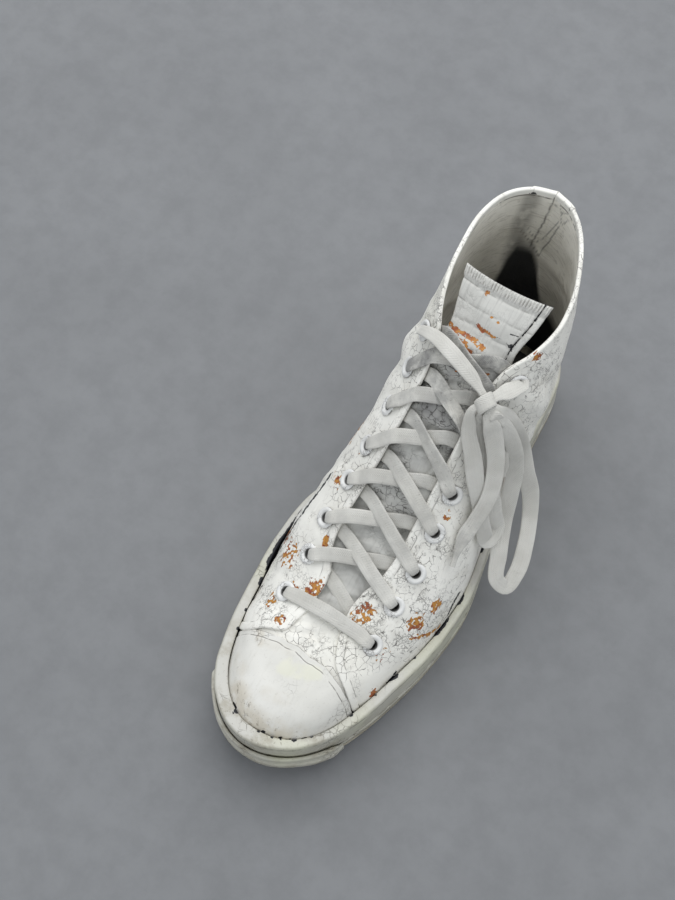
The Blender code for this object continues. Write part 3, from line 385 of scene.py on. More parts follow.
# Upper edge of the counter inside the heel, where the lining has a painted highlight line.
COUNTER_EDGE = (
    (1.1, 0.64), (1.083, 0.7), (1.05, 0.712), (1.022, 0.67), (1.008, 0.6), (0.99, 0.52),
)
# Stains on the toe cap, by kind: reach, strength, places.
CAP_STAINS = {
    "yellow": (
        (0.0048, 0.85, ((-0.02, 0.8), (0.05, 0.815), (0.095, 0.8))),
    ),
    "brown": (
        (0.0028, 0.6, ((-0.196, 0.66), (-0.16, 0.69))),
        (0.006, 0.75, ((-0.08, 0.445), (-0.02, 0.415), (0.045, 0.4))),
        (0.004, 0.6, ((0.071, 0.36), (0.1, 0.4))),
        (0.0026, 0.2, ((-0.21, 0.6), (-0.1, 0.83), (-0.04, 0.86))),
        (0.004, 0.35, ((-0.155, 0.48), (-0.12, 0.52))),
        (0.003, 0.28, ((-0.02, 0.62), (0.03, 0.64))),
    ),
}


def unit(vectors):
    """The same directions at length one."""
    return vectors / np.linalg.norm(vectors, axis=-1, keepdims=True)


def along_line(points):
    """Distance of each point along its line, from the first point."""
    return np.append(0.0, np.cumsum(np.linalg.norm(np.diff(points, axis=0), axis=1)))


def at_height(plan, height):
    """Places in plan with a height as third value."""
    height = np.broadcast_to(height, plan.shape[:-1])
    return np.concatenate([plan, height[..., None]], axis=-1)


def spline(rows, column, at):
    """Smooth curve through one column of a table, over its first column.

    Piecewise cubic with the slope at each row taken from its two neighbours.
    """
    table = np.array(rows, dtype=float)
    knots = table[:, 0]
    values = table[:, column]
    steps = np.diff(knots)
    rates = np.diff(values) / steps
    slopes = np.empty(len(knots))
    slopes[1:-1] = (rates[:-1] * steps[1:] + rates[1:] * steps[:-1]) / (steps[:-1] + steps[1:])
    slopes[0] = rates[0]
    slopes[-1] = rates[-1]
    at = np.clip(np.asarray(at, dtype=float), knots[0], knots[-1])
    index = np.clip(np.searchsorted(knots, at, side="right") - 1, 0, len(steps) - 1)
    span = steps[index]
    part = (at - knots[index]) / span
    return (
        values[index] * (1 + 2 * part) * (1 - part) ** 2
        + slopes[index] * span * part * (1 - part) ** 2
        + values[index + 1] * part ** 2 * (3 - 2 * part)
        + slopes[index + 1] * span * part ** 2 * (part - 1)
    )


def smooth_step(value, start, end):
    """0 before start, 1 after end, and an even S between them."""
    part = np.clip((np.asarray(value, dtype=float) - start) / (end - start), 0.0, 1.0)
    return part * part * (3 - 2 * part)


def station_of(back):
    """Station along the sole (0 heel, 1 toe) of a place at this y."""
    return np.clip(0.5 - np.asarray(back) / SOLE_LENGTH, 0.0, 1.0)


def ground(station):
    """Height of the sole's underside: flat, then rising to the toe spring."""
    rise = np.clip((np.asarray(station) - SPRING_STATION) / (1 - SPRING_STATION), 0.0, None)
    return TOE_SPRING * rise ** 2


def sole_line(turn):
    """Outline of the foxing in plan; turn is 0 at the toe, +1 or -1 at the heel."""
    station = (1 + np.cos(np.pi * turn)) / 2
    blend = smooth_step(station, HEEL_END_STATION, BALL_START_STATION)
    width = HEEL_WIDTH + (BALL_WIDTH - HEEL_WIDTH) * blend
    half = spline(SOLE_PLAN, 2, station) * width
    x = spline(SOLE_PLAN, 1, station) * BALL_WIDTH + np.sin(np.pi * turn) * half
    y = SOLE_LENGTH * (0.5 - station)
    return np.stack([x, y], axis=-1)


def sole_normal(turn):
    """Unit vector in plan that points out of the outline."""
    step = 1e-3
    along = sole_line(turn + step) - sole_line(turn - step)
    return unit(np.stack([along[..., 1], -along[..., 0]], axis=-1))


def offset_line(turn, inset):
    """Outline moved inwards by inset."""
    inset = np.asarray(inset, dtype=float)
    return sole_line(turn) - sole_normal(turn) * inset[..., None]


def foxing_wall(turn):
    """Thickness of the foxing, with its extra layers around the toe."""
    toe = 1 - smooth_step(np.abs(turn), 0.5 * BUMPER_REACH, 1.5 * BUMPER_REACH)
    return FOXING_WALL + TOE_EXTRA_WALL * toe


def upper_foot(turn):
    """Where a rib of the upper stands on the outsole, inside the foxing."""
    plan = offset_line(turn, foxing_wall(turn) + 2 * GAP)
    return at_height(plan, ground(station_of(plan[..., 1])) + OUTSOLE_THICK + GAP)


def upper_top(turn):
    """Upper end of a rib: ridge of the vamp, throat edge or collar edge."""
    part = np.abs(turn)
    side = np.sign(turn)
    back = spline(UPPER_TOP, 3, part) * SOLE_LENGTH
    spread = spline(UPPER_TOP, 2, part)
    x = (spline(UPPER_TOP, 1, part) + side * spread) * BALL_WIDTH
    share = spline(UPPER_TOP, 4, part) - side * spline(UPPER_TOP, 5, part)
    z = share * COLLAR_HEIGHT + ground(station_of(back))
    return np.stack([x, back, z], axis=-1)


def upper_surface(turn, share):
    """Outer face of the upper: a cubic rib from foot to top at each turn."""
    turn, share = np.broadcast_arrays(np.asarray(turn, float), np.asarray(share, float))
    wrapped = np.where(turn > 1, turn - 2, np.where(turn < -1, turn + 2, turn))
    part = np.abs(wrapped)
    foot = upper_foot(turn)
    top = upper_top(wrapped)
    outward = at_height(sole_normal(turn), 0.0)
    chord = np.linalg.norm(top - foot, axis=-1, keepdims=True)
    rise = spline(UPPER_BEND, 1, part)[..., None] * (top - foot)[..., 2:3]
    swell = spline(UPPER_BEND, 2, part)[..., None] * BALL_WIDTH
    slope = np.radians(spline(UPPER_BEND, 3, part))[..., None]
    reach = spline(UPPER_BEND, 4, part)[..., None] * chord
    upward = np.array([0.0, 0.0, 1.0])
    low = foot + upward * rise + outward * swell
    high = top + (outward * np.cos(slope) - upward * np.sin(slope)) * reach
    share = share[..., None]
    rest = 1 - share
    rib = (
        foot * rest ** 3
        + low * 3 * share * rest ** 2
        + high * 3 * share ** 2 * rest
        + top * share ** 3
    )
    bulge = np.sum((rib - foot) * outward, axis=-1, keepdims=True)
    level = ground(station_of(foot[..., 1])) + FOXING_HEIGHT
    clear = smooth_step(rib[..., 2] - level, 0.0, 0.6 * FOXING_HEIGHT)[..., None]
    return rib - outward * np.clip(bulge, 0.0, None) * (1 - clear)


def upper_normal(turn, share):
    """Unit vector out of the upper's outer face."""
    turn, share = np.broadcast_arrays(np.asarray(turn, float), np.asarray(share, float))
    step = 2e-3
    inside = np.clip(share, 0.02, 0.98)
    along = upper_surface(turn + step, inside) - upper_surface(turn - step, inside)
    up = upper_surface(turn, inside + step) - upper_surface(turn, inside - step)
    return unit(np.cross(along, up))


def upper_offset(turn, share, lift):
    """The upper's outer face moved outwards by lift."""
    lift = np.asarray(lift, dtype=float)
    return upper_surface(turn, share) + upper_normal(turn, share) * lift[..., None]


def locate(side, x, y):
    """Turn and share of the upper's point that lies above this place in plan.

    A coarse search, then Newton steps on the plan of the surface.
    """
    turns = side * np.linspace(0.22, 0.64, 22)[:, None]
    shares = np.linspace(0.4, 1.0, 13)[None, :]
    plan = upper_surface(turns, shares)[..., :2]
    distance = np.hypot(plan[..., 0] - x, plan[..., 1] - y)
    row, column = np.unravel_index(int(np.argmin(distance)), distance.shape)
    turn = float(turns[row, 0])
    share = float(shares[0, column])
    step = 1e-4
    for _ in range(8):
        here = upper_surface(turn, share)[:2]
        by_turn = (upper_surface(turn + step, share)[:2] - here) / step
        by_share = (upper_surface(turn, share + step)[:2] - here) / step
        change = np.linalg.solve(np.stack([by_turn, by_share], axis=1), np.array([x, y]) - here)
        turn += float(np.clip(change[0], -0.02, 0.02))
        share += float(np.clip(change[1], -0.08, 0.08))
    return turn, share


def evenly(points, count, values=None):
    """A line's points, or values given at them, read at this many even distances."""
    values = points if values is None else values
    along = along_line(points)
    wanted = np.linspace(0.0, along[-1], count)
    return np.stack([np.interp(wanted, along, column) for column in np.atleast_2d(values.T)], axis=1)


def curve_through(points, count):
    """Smooth curve through route points, read at even distances."""
    points = np.asarray(points, dtype=float)
    along = along_line(points)
    rows = np.column_stack([along, points])
    dense = np.linspace(0.0, along[-1], 12 * len(points))
    smooth = np.stack([spline(rows, axis + 1, dense) for axis in range(3)], axis=1)
    return evenly(smooth, count)


def grid_normals(points):
    """Unit normals of a grid of points (row, column, xyz)."""
    return unit(np.cross(np.gradient(points, axis=1), np.gradient(points, axis=0)))


def tongue_bridge(left, right, count=9):
    """Shallow arch over the throat between the ends of two rib curves."""
    span = np.linalg.norm(right[-1] - left[-1])
    leave = unit(left[-1] - left[-2])
    arrive = unit(right[-2] - right[-1])
    part = np.linspace(0.0, 1.0, count)[1:-1, None]
    pull = TONGUE_CROWN * span
    return (
        left[-1] * (1 + 2 * part) * (1 - part) ** 2
        + leave * pull * part * (1 - part) ** 2
        + right[-1] * part ** 2 * (3 - 2 * part)
        + arrive * pull * part ** 2 * (part - 1)
    )


def tongue_rows():
    """Rows of the tongue's front face, from the vamp to its free top edge."""
    rows = []
    for turn in np.concatenate([[VAMP_END_TURN + 0.0018], np.linspace(0.33, 0.59, 11)]):
        tuck = spline(TONGUE_TUCK, 1, turn)
        drop = spline(TONGUE_TUCK, 2, turn) * (UPPER_WALL + LACE_THICK + 4 * GAP)
        shares = np.linspace(tuck, 1.0, 5)
        left = upper_offset(-turn, shares, np.full(5, -drop))
        right = upper_offset(turn, shares, np.full(5, -drop))
        across = np.concatenate([left, tongue_bridge(left, right), right[::-1]])
        rows.append(evenly(across, TONGUE_COLUMNS))
    part = np.linspace(-1.0, 1.0, TONGUE_COLUMNS)
    for back, height, inner, outer, curl in TONGUE_TOP:
        x = (inner + (outer - inner) * (part + 1) / 2) * BALL_WIDTH
        y = back * SOLE_LENGTH + curl * BALL_WIDTH * part ** 2
        z = height * COLLAR_HEIGHT - 0.5 * curl * BALL_WIDTH * part ** 2
        rows.append(np.stack([x, y, z], axis=1))
    return np.stack(rows)


def eyelet_place(side, index):
    """Turn and share of an eyelet's centre on the upper."""
    back, outer, inner = EYELETS[index]
    across = outer if side > 0 else -inner
    return locate(side, across * BALL_WIDTH, back * SOLE_LENGTH)


def throat_edge(side):
    """Half width of the throat over y, along the quarter's edge: arrays y, x."""
    column = 1 if side > 0 else 2
    shares = np.linspace(0.9, 0.995, 12)
    turns = side * spline(QUARTER_FRONT, column, shares)
    front = upper_surface(turns, shares)
    tops = upper_top(side * np.linspace(THROAT_TURN, 0.63, 60))
    edge = np.concatenate([front, tops])
    order = np.argsort(edge[:, 1])
    return edge[order, 1], edge[order, 0]


def edge_crossing(side, start, end):
    """Share of the plan line from start to end at which it crosses the throat edge."""
    y, x = throat_edge(side)
    part = np.linspace(0.0, 1.0, 400)
    line = start[None, :2] + (end - start)[None, :2] * part[:, None]
    open_here = side * line[:, 0] < side * np.interp(line[:, 1], y, x)
    found = part[open_here]
    return float(found[0] if side * start[0] > 0 else found[-1])


def on_upper(side, plan, lift):
    """Point of the upper above this place in plan, moved out by lift; and its normal."""
    turn, share = locate(side, float(plan[0]), float(plan[1]))
    share = min(share, 1.0)
    normal = upper_normal(turn, share)
    return upper_surface(turn, share) + normal * lift, normal


def distance_to(points, line):
    """Distance of each point to a line of straight steps."""
    best = np.full(points.shape[:-1], 1.0)
    for start, end in zip(line[:-1], line[1:]):
        step = end - start
        share = np.clip(((points - start) @ step) / max(float(step @ step), 1e-12), 0.0, 1.0)
        away = np.linalg.norm(points - start - share[..., None] * step, axis=-1)
        best = np.minimum(best, away)
    return best


def bump(value, place, width):
    """1 at this place, falling to both sides as a bell of this width."""
    return np.exp(-((value - place) / width) ** 2)


def hand_line(places, steps=6):
    """Both values of listed pairs, in even steps from each pair to the next."""
    table = np.array(places, dtype=float)
    part = np.arange(len(table))
    fine = np.linspace(0, len(table) - 1, steps * (len(table) - 1) + 1)
    return np.interp(fine, part, table[:, 0]), np.interp(fine, part, table[:, 1])


def upper_line(places):
    """Points on the upper along listed (turn, share) places."""
    return upper_surface(*hand_line(places))


def folds(points, table):
    """Soft troughs and ridges along given lines.

    Across a line at distance d the height is minus the depth times a bell of the
    given width, with a lower bell of the other sign 1.9 widths away.
    """
    total = np.zeros(points.shape[:-1])
    for depth, width, places in table:
        away = distance_to(points, upper_line(places))
        total -= depth * (bump(away, 0.0, width) - 0.4 * bump(away, 1.9 * width, width))
    return total


def waves(points, size, seed):
    """Soft unevenness between about -1 and 1: a sum of nine sine waves."""
    chance = np.random.default_rng(seed)
    total = np.zeros(points.shape[:-1])
    for _ in range(9):
        heading = unit(chance.normal(size=3))
        pitch = size * chance.uniform(0.6, 1.6)
        total += np.sin(points @ heading * 2 * math.pi / pitch + chance.uniform(0.0, 6.28))
    return total / 3.0


def bell(away, reach):
    """1 on a line, falling to 0 past its reach."""
    return 1 - smooth_step(away, 0.35 * reach, 1.5 * reach)


def spots(points, table, surface=upper_surface):
    """Field with a bell at each (turn, share, reach, strength)."""
    total = np.zeros(points.shape[:-1])
    for turn, share, reach, strength in table:
        away = np.linalg.norm(points - surface(turn, share), axis=-1)
        total = np.maximum(total, strength * bell(away, reach))
    return total


def bands(points, table, line=upper_line):
    """Field with a bell along each (reach, strength, places)."""
    total = np.zeros(points.shape[:-1])
    for reach, strength, places in table:
        total = np.maximum(total, strength * bell(distance_to(points, line(places)), reach))
    return total


def new_object(name, data):
    """Object with this data, added to the scene."""
    made = bpy.data.objects.new(name, data)
    bpy.context.collection.objects.link(made)
    return made


def add_piece(name, points, faces, finishes, slots, fields, angle=40.0):
    """Closed mesh from points and faces, turned outwards, riding the root body."""
    used = np.unique(np.concatenate([np.asarray(block).ravel() for block in faces]))
    points = np.asarray(points, dtype=float).reshape(-1, 3)
    renumber = np.zeros(len(points), dtype=int)
    renumber[used] = np.arange(len(used))
    corners = [renumber[np.asarray(block)] for block in faces]
    points = points[used]
    volume = 0.0
    for block in corners:
        for k in range(1, block.shape[1] - 1):
            first, second, third = points[block[:, 0]], points[block[:, k]], points[block[:, k + 1]]
            volume += float(np.sum(first * np.cross(second, third)))
    if volume < 0:
        corners = [block[:, ::-1] for block in corners]
    lists = [face for block in corners for face in block.tolist()]
    mesh = bpy.data.meshes.new(name)
    mesh.from_pydata(points, [], lists)
    for finish in finishes:
        mesh.materials.append(finish)
    if slots is not None:
        mesh.polygons.foreach_set("material_index", np.asarray(slots, dtype=np.int32))
    for label, values in fields.items():
        layer = mesh.attributes.new(label, "FLOAT", "POINT")
        layer.data.foreach_set("value", np.asarray(values, dtype=np.float32).ravel()[used])
    mesh.shade_smooth()
    mesh.set_sharp_from_angle(angle=math.radians(angle))
    made = new_object(name, mesh)
    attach(made, "root")
    return made


def grid_quads(index, closed_rows=False, closed_columns=False):
    """Quads over a grid of point numbers."""
    rows = np.vstack([index, index[:1]]) if closed_rows else index
    full = np.hstack([rows, rows[:, :1]]) if closed_columns else rows
    return np.stack([
        full[:-1, :-1].ravel(), full[:-1, 1:].ravel(), full[1:, 1:].ravel(), full[1:, :-1].ravel(),
    ], axis=1)


def add_shell(name, outer, inner, finishes, fields, lining=None, seam=False, rim=None):
    """Wall between two grids of points, closed along its edges.

    With seam the two halves of the last row are one line of points, as on the
    ridge of the vamp. The inner face takes the second finish, where rim, one value
    for each point, is false, and its fields from lining where that has them.
    """
    rows, columns = outer.shape[:2]
    index = np.arange(rows * columns).reshape(rows, columns)
    total = rows * columns
    if seam:
        index[-1] = np.minimum(index[-1], index[-1, ::-1])
        left = np.append(index[-1, 0], index[-2::-1, 0])
        line = np.concatenate([left, index[0, 1:], index[1:-1, -1], index[-1, :1]])
    else:
        line = np.concatenate([index[0], index[1:, -1], index[-1, -2::-1], index[-2::-1, 0]])
    outside = grid_quads(index)
    inside = outside[:, ::-1] + total
    strips = np.stack([line[1:], line[:-1], line[:-1] + total, line[1:] + total], axis=1)
    lined = np.ones(len(inside))
    if rim is not None:
        lined = 1.0 - np.all(rim.ravel()[outside], axis=1)
    slots = None
    if len(finishes) > 1:
        slots = np.concatenate([np.zeros(len(outside)), lined, np.zeros(len(strips))])
    points = np.concatenate([outer.reshape(-1, 3), inner.reshape(-1, 3)])
    within = {**fields, **(lining or {})}
    both = {key: np.append(np.ravel(fields[key]), np.ravel(within[key])) for key in fields}
    return add_piece(name, points, [outside, inside, strips], finishes, slots, both)


def add_sweep(name, sections, finishes, fields, ring=False):
    """Closed sections carried along a line, with end caps unless it is a ring."""
    count, corners = sections.shape[:2]
    index = np.arange(count * corners).reshape(count, corners)
    faces = [grid_quads(index, closed_rows=ring, closed_columns=True)]
    if not ring:
        faces += [index[:1, ::-1], index[-1:]]
    return add_piece(name, sections, faces, finishes, None, fields, angle=60.0)


def hole_clearance(points):
    """0 at an eyelet's seat, rising to 1 away from it."""
    keep = np.ones(points.shape[:-1])
    for side, index in EACH_EYELET:
        centre = upper_surface(*eyelet_place(side, index))
        away = np.linalg.norm(points - centre, axis=-1)
        keep = np.minimum(keep, smooth_step(away, 0.006, 0.0095))
    return keep


def edge_round(away, radius):
    """Fall of a wall's face towards its rounded edge, at distances from the edge."""
    inside = np.clip(radius - away, 0.0, radius)
    return radius - np.sqrt(np.clip(radius ** 2 - inside ** 2, 0.0, None))


def toe_fill(turn, share):
    """How far the cap fills out over its foot at the front, as a lift."""
    around = smooth_step(0.25 - np.abs(turn - 0.03), 0.0, 0.2)
    return TOE_FILL * around * (1 - smooth_step(share, 0.42, 0.86))


def joint_gap(turn, away):
    """Black where the joint with the foxing is open, at distances from it."""
    total = np.zeros(np.broadcast(turn, away).shape)
    for place, reach, width in JOINT_GAPS:
        inside = 1 - smooth_step(np.abs(turn - place), 0.2 * reach, 1.25 * reach)
        total = np.maximum(total, inside * (1 - smooth_step(away, 0.6 * width, 1.4 * width)))
    return total


def over_foxing(points, turn, share):
    """Distance of the upper's points from the foxing's top, negative below it."""
    joint = spline(FOXING_TOP, 1, np.abs(np.where(turn > 1, turn - 2, turn)))
    return np.linalg.norm(points - upper_surface(turn, joint), axis=-1) * np.sign(share - joint)


def build_quarters(settings, painted, lining):
    """Both quarters as one wall, from the outer front edge round the heel to the inner one.

    Rows run along the front edge and blend to even rows at the heel. The face moves
    out by the border, the heel strip and the creases, and rounds off at the edges.
    """
    steps = np.array(EDGE_STEPS)
    fine = steps / QUARTER_LENGTH
    half = np.concatenate([fine, np.linspace(fine[-1], 1.0, settings.columns // 2)[1:]])
    down = np.linspace(0.0, 1.0, settings.rows)
    grids = []
    for side in (1, -1):
        column = 1 if side > 0 else 2
        shares = np.linspace(LOW_SHARE, 1.0, 400)
        front_turns = spline(QUARTER_FRONT, column, shares)
        front = upper_surface(side * front_turns, shares)
        arc = along_line(front)
        place = np.append(down[:-1] * (arc[-1] - steps[-1]), arc[-1] - steps[::-1])
        front_share = np.interp(place, arc, shares)
        front_turn = np.interp(place, arc, front_turns)
        turn = front_turn[:, None] + (1 - front_turn[:, None]) * half[None, :]
        ribs = upper_surface(side * turn[-1][None, :], np.linspace(LOW_SHARE, 1.0, 30)[:, None])
        tall = np.sum(np.linalg.norm(np.diff(ribs, axis=0), axis=-1), axis=0)
        low = down[:-1, None] * (1 - steps[-1] / tall[None, :])
        even = np.concatenate([low, 1 - steps[::-1, None] / tall[None, :]])
        even = LOW_SHARE + (1 - LOW_SHARE) * even
        blend = smooth_step(half, 0.0, 0.32)[None, :]
        share = front_share[:, None] * (1 - blend) + even * blend
        turn = turn if side > 0 else 2 - turn
        grids.append((turn, share))
    turn = np.concatenate([grids[0][0], grids[1][0][:, -2::-1]], axis=1)
    share = np.concatenate([grids[0][1], grids[1][1][:, -2::-1]], axis=1)
    base = upper_surface(turn, share)
    normal = upper_normal(turn, share)
    edge = np.concatenate([base[:, 0], base[-1, 1:-1], base[::-1, -1]])
    away = distance_to(base, edge)
    heel = distance_to(base, upper_surface(np.ones(24), np.linspace(0.0, 1.0, 24)))
    clear = hole_clearance(base) * smooth_step(away, 0.002, 0.008)
    border = RIM_RAISE * (1 - smooth_step(away, RIM_WIDTH - 0.0005, RIM_WIDTH))
    border -= 0.00025 * bump(away, RIM_WIDTH + 0.0002, 0.0004)
    strip_side = 0.5 * HEEL_STRIP_WIDTH
    strip = HEEL_STRIP_RAISE * (1 - smooth_step(heel, strip_side, strip_side + 0.001))
    moved = folds(base, CREASES) * settings.crease
    moved += 0.0003 * waves(base, 0.03, 3) + 0.00012 * waves(base, 0.011, 5)
    low_calm = smooth_step(share, 0.16, 0.3)
    outer_lift = border + strip + moved * clear * low_calm - edge_round(away, WALL_ROUND)
    inner_lift = -UPPER_WALL + moved * clear * low_calm + edge_round(away, WALL_ROUND)
    inner_lift = np.minimum(inner_lift, outer_lift - 0.0001)
    outer = base + normal * outer_lift[..., None]
    inner = base + normal * inner_lift[..., None]
    signed = np.where(turn > 1, turn - 2, turn)
    band = over_foxing(base, turn, share)
    fields = {
        "edge": away,
        "rust_and_depth_shade": np.maximum(spots(base, RUST_SPOTS), bands(base, RUST_LINES)),
        "black": np.maximum(bands(base, BLACK_LINES), joint_gap(signed, band)),
        "foot": band,
        "seam": np.minimum(heel, np.abs(heel - strip_side)),
        "craze_and_counter_highlight": smooth_step(waves(base, 0.045, 12), -0.5, 0.8),
    }
    # Depth below the collar's top, which the lining paints as shade, near black deep in the heel. It
    # is stored in the same field as the rust of the outer faces.
    depth = (upper_top(signed)[..., 2] - base[..., 2]) / 0.09
    deeper = 0.55 * (1 - smooth_step(np.abs(turn - 1.055), 0.02, 0.1))
    inside = {
        "rust_and_depth_shade": depth + deeper * smooth_step(depth, 0.12, 0.32),
        # Dark back seam line, and painted shade along the lining's folds.
        "black": bands(base, LINING_LINES),
        # Line along the counter's edge, used for a painted highlight.
        "craze_and_counter_highlight": bell(distance_to(base, upper_line(COUNTER_EDGE)), 0.0011),
    }
    rim = away < COLLAR_TURN_IN
    made = add_shell("quarter_shell", outer, inner, (painted, lining), fields, inside, rim=rim)
    cut_holes(made)
    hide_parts("upper")


def cut_holes(target):
    """Cut the sixteen lace holes with short cylinders, and keep the result as a mesh."""
    bm = bmesh.new()
    for side, index in EACH_EYELET:
        bmesh.ops.create_cone(
            bm, cap_ends=True, segments=28, radius1=HOLE_RADIUS, radius2=HOLE_RADIUS,
            depth=HOLE_DEPTH, matrix=eyelet_frame(side, index),
        )
    mesh = bpy.data.meshes.new("hole_cutter")
    bm.to_mesh(mesh)
    bm.free()
    cutter = new_object("hole_cutter", mesh)
    cut = target.modifiers.new("holes", "BOOLEAN")
    cut.operation = "DIFFERENCE"
    cut.solver = "EXACT"
    cut.object = cutter
    bpy.context.view_layer.update()
    graph = bpy.context.evaluated_depsgraph_get()
    result = bpy.data.meshes.new_from_object(target.evaluated_get(graph))
    if len(result.polygons) < 0.5 * len(target.data.polygons):
        raise RuntimeError("the lace holes could not be cut")
    target.modifiers.clear()
    target.data = result
    bpy.data.objects.remove(cutter)


def build_vamp(settings, painted, lining):
    """Front of the upper under the quarters and the cap, joined along its ridge."""
    turns = np.linspace(-VAMP_END_TURN, VAMP_END_TURN, VAMP_GRID[1])
    low = 0.16 + 0.5 * smooth_step(0.24 - np.abs(turns), 0.0, 0.2)
    part = np.linspace(0.0, 1.0, VAMP_GRID[0])[:, None] ** 0.8
    share = low[None, :] + (1 - low[None, :]) * part
    turn = np.broadcast_to(turns[None, :], share.shape)
    base = upper_surface(turn, share)
    normal = upper_normal(turn, share)
    normal[-1] = unit(normal[-1] + normal[-1, ::-1])
    moved = folds(base, VAMP_CREASES) * settings.crease + 0.0001 * waves(base, 0.012, 8)
    moved[-1] = 0.5 * (moved[-1] + moved[-1, ::-1])
    outer = base + normal * (moved - LAYER_STEP)[..., None]
    inner = base + normal * (moved - LAYER_STEP - UPPER_WALL)[..., None]
    outer[-1] = 0.5 * (outer[-1] + outer[-1, ::-1])
    inner[-1] = 0.5 * (inner[-1] + inner[-1, ::-1])
    plain = {"edge": 0.02, "rust_and_depth_shade": 0.0, "black": 0.0, "foot": 0.02, "seam": 0.02, "craze_and_counter_highlight": 0.25}
    fields = {key: np.full(share.shape, value) for key, value in plain.items()}
    made = add_shell("vamp_shell", outer, inner, (painted, lining), fields, seam=True)
    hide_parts("upper")


def build_cap(rubber):
    """Toe cap ruled from behind the foxing to its rear edge, with a lower band there."""
    swing = np.sin(np.linspace(-0.5, 0.5, CAP_GRID[1]) * math.pi)
    turns = -0.008 + 0.244 * swing
    rear = spline(CAP_REAR, 1, turns)
    low = spline(FOXING_TOP, 1, np.abs(turns)) - 0.07
    low = np.minimum(low, rear - 0.01)
    steps = np.array(EDGE_STEPS) / CAP_RIB_LENGTH
    low_part = np.linspace(0.0, 1 - steps[-1], CAP_GRID[0])[:-1]
    part = np.concatenate([low_part, 1 - steps[::-1]])[:, None]
    share = low[None, :] + (rear - low)[None, :] * part
    turn = np.broadcast_to(turns[None, :], share.shape)
    base = upper_surface(turn, share)
    normal = upper_normal(turn, share)
    away = distance_to(base, base[-1])
    band = -0.00045 * (1 - smooth_step(away, CAP_BAND - 0.0005, CAP_BAND))
    band -= 0.0003 * bump(away, CAP_BAND, 0.00035)
    soft = 0.00022 * waves(base, 0.035, 21) + 0.00008 * waves(base, 0.009, 22)
    fill = toe_fill(turn, share)
    outer_lift = 0.0002 + fill + band + soft - edge_round(away, CAP_ROUND)
    inner_lift = fill - CAP_THICK + soft
    inner_lift = np.minimum(inner_lift, outer_lift - 0.0001)
    foot = over_foxing(base, turn, share)
    fields = {"edge": away, "foot": foot, "black": joint_gap(turn, foot)}
    for kind, rows in CAP_STAINS.items():
        fields[kind] = bands(base, rows)
    outer = base + normal * outer_lift[..., None]
    inner = base + normal * inner_lift[..., None]
    made = add_shell("toe_cap_skin", outer, inner, (rubber,), fields)
    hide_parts("toe_cap")


def ring_sections(turns, profile):
    """Profile of (inset, height over the ground line) pairs carried round the sole."""
    corners = []
    for inset, height in profile:
        plan = offset_line(turns, np.broadcast_to(inset, turns.shape))
        corners.append(at_height(plan, ground(station_of(plan[:, 1])) + height))
    return np.stack(corners, axis=1)


def build_foxing(rubber):
    """Rubber band round the shoe, with its stripe, a soft top and a wavy worn edge."""
    turns = np.linspace(-1.0, 1.0, FOXING_COLUMNS, endpoint=False)
    wall = foxing_wall(turns)
    foot = OUTSOLE_THICK + GAP
    plan = sole_line(turns)
    spot = at_height(plan, 0.0)
    worn = 0.00022 * waves(spot, 0.04, 31) + 0.0001 * waves(spot, 0.013, 32)
    stand = 0.0012 * smooth_step(turns, -0.52, -0.44) * (1 - smooth_step(turns, -0.4, -0.33))
    high = FOXING_HEIGHT + 0.6 * worn
    joint = spline(FOXING_TOP, 1, np.abs(turns))
    meets = upper_offset(turns, joint, toe_fill(turns, joint))[:, :2]
    reach = np.sum((plan - meets) * sole_normal(turns), axis=1)
    reach = np.maximum(reach, wall) - stand
    behind = np.maximum(wall, 0.55 * wall + 0.45 * reach)
    profile = (
        (wall, foot), (0.0, foot), (-OUTSOLE_LIP, foot + 0.0006), (-OUTSOLE_LIP, foot + 0.0022),
        (-OUTSOLE_LIP, foot + STRIPE_HEIGHT), (-0.0002, foot + STRIPE_HEIGHT + 0.0004),
        (0.0003, foot + STRIPE_HEIGHT + 0.0008), (0.0, foot + STRIPE_HEIGHT + 0.0014),
        (worn, 0.012), (worn, 0.016), (worn, 0.02), (worn, 0.024), (worn - 0.5 * stand, 0.0275),
        (worn - stand + 0.0001, high - 0.0026), (worn - stand + 0.0003, high - 0.0014),
        (worn - stand + 0.0008, high - 0.0005), (worn - stand + 0.0014, high - 0.0001),
        (worn - stand + 0.0021, high), (np.maximum(reach - 0.0013, worn + 0.0023), high),
        (np.maximum(reach - 0.0005, worn + 0.0025), high - 0.0001),
        (reach - 0.0002, high - 0.0003), (reach - 0.0001, high - 0.001),
        (behind, 0.026), (wall, 0.02), (wall, 0.012),
    )
    sections = ring_sections(turns, profile)
    shape = sections.shape[:2]
    top = np.zeros(shape)
    top[:, 16:21] = 1.0
    level = np.array([np.mean(np.asarray(height)) for _, height in profile])
    black = np.zeros(shape)
    black[:, 19:] = joint_gap(turns, np.zeros(len(turns)))[:, None]
    black[:, 18] = 0.55 * joint_gap(turns, np.full(len(turns), 0.0012))
    gap = smooth_step(turns, -0.5, -0.46) * (1 - smooth_step(turns, -0.37, -0.335))
    black[:, 19:] = np.maximum(black[:, 19:], gap[:, None])
    black[:, 18] = np.maximum(black[:, 18], 0.75 * gap)
    toe = 1 - smooth_step(np.abs(turns), 0.1, 0.34)
    fields = {
        "top": top,
        "level": np.broadcast_to(level, shape),
        "black": black,
        "dirt": np.broadcast_to((0.35 + 0.65 * toe)[:, None], shape),
    }
    made = add_sweep("foxing_band", sections, (rubber,), fields, ring=True)
    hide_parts("foxing")


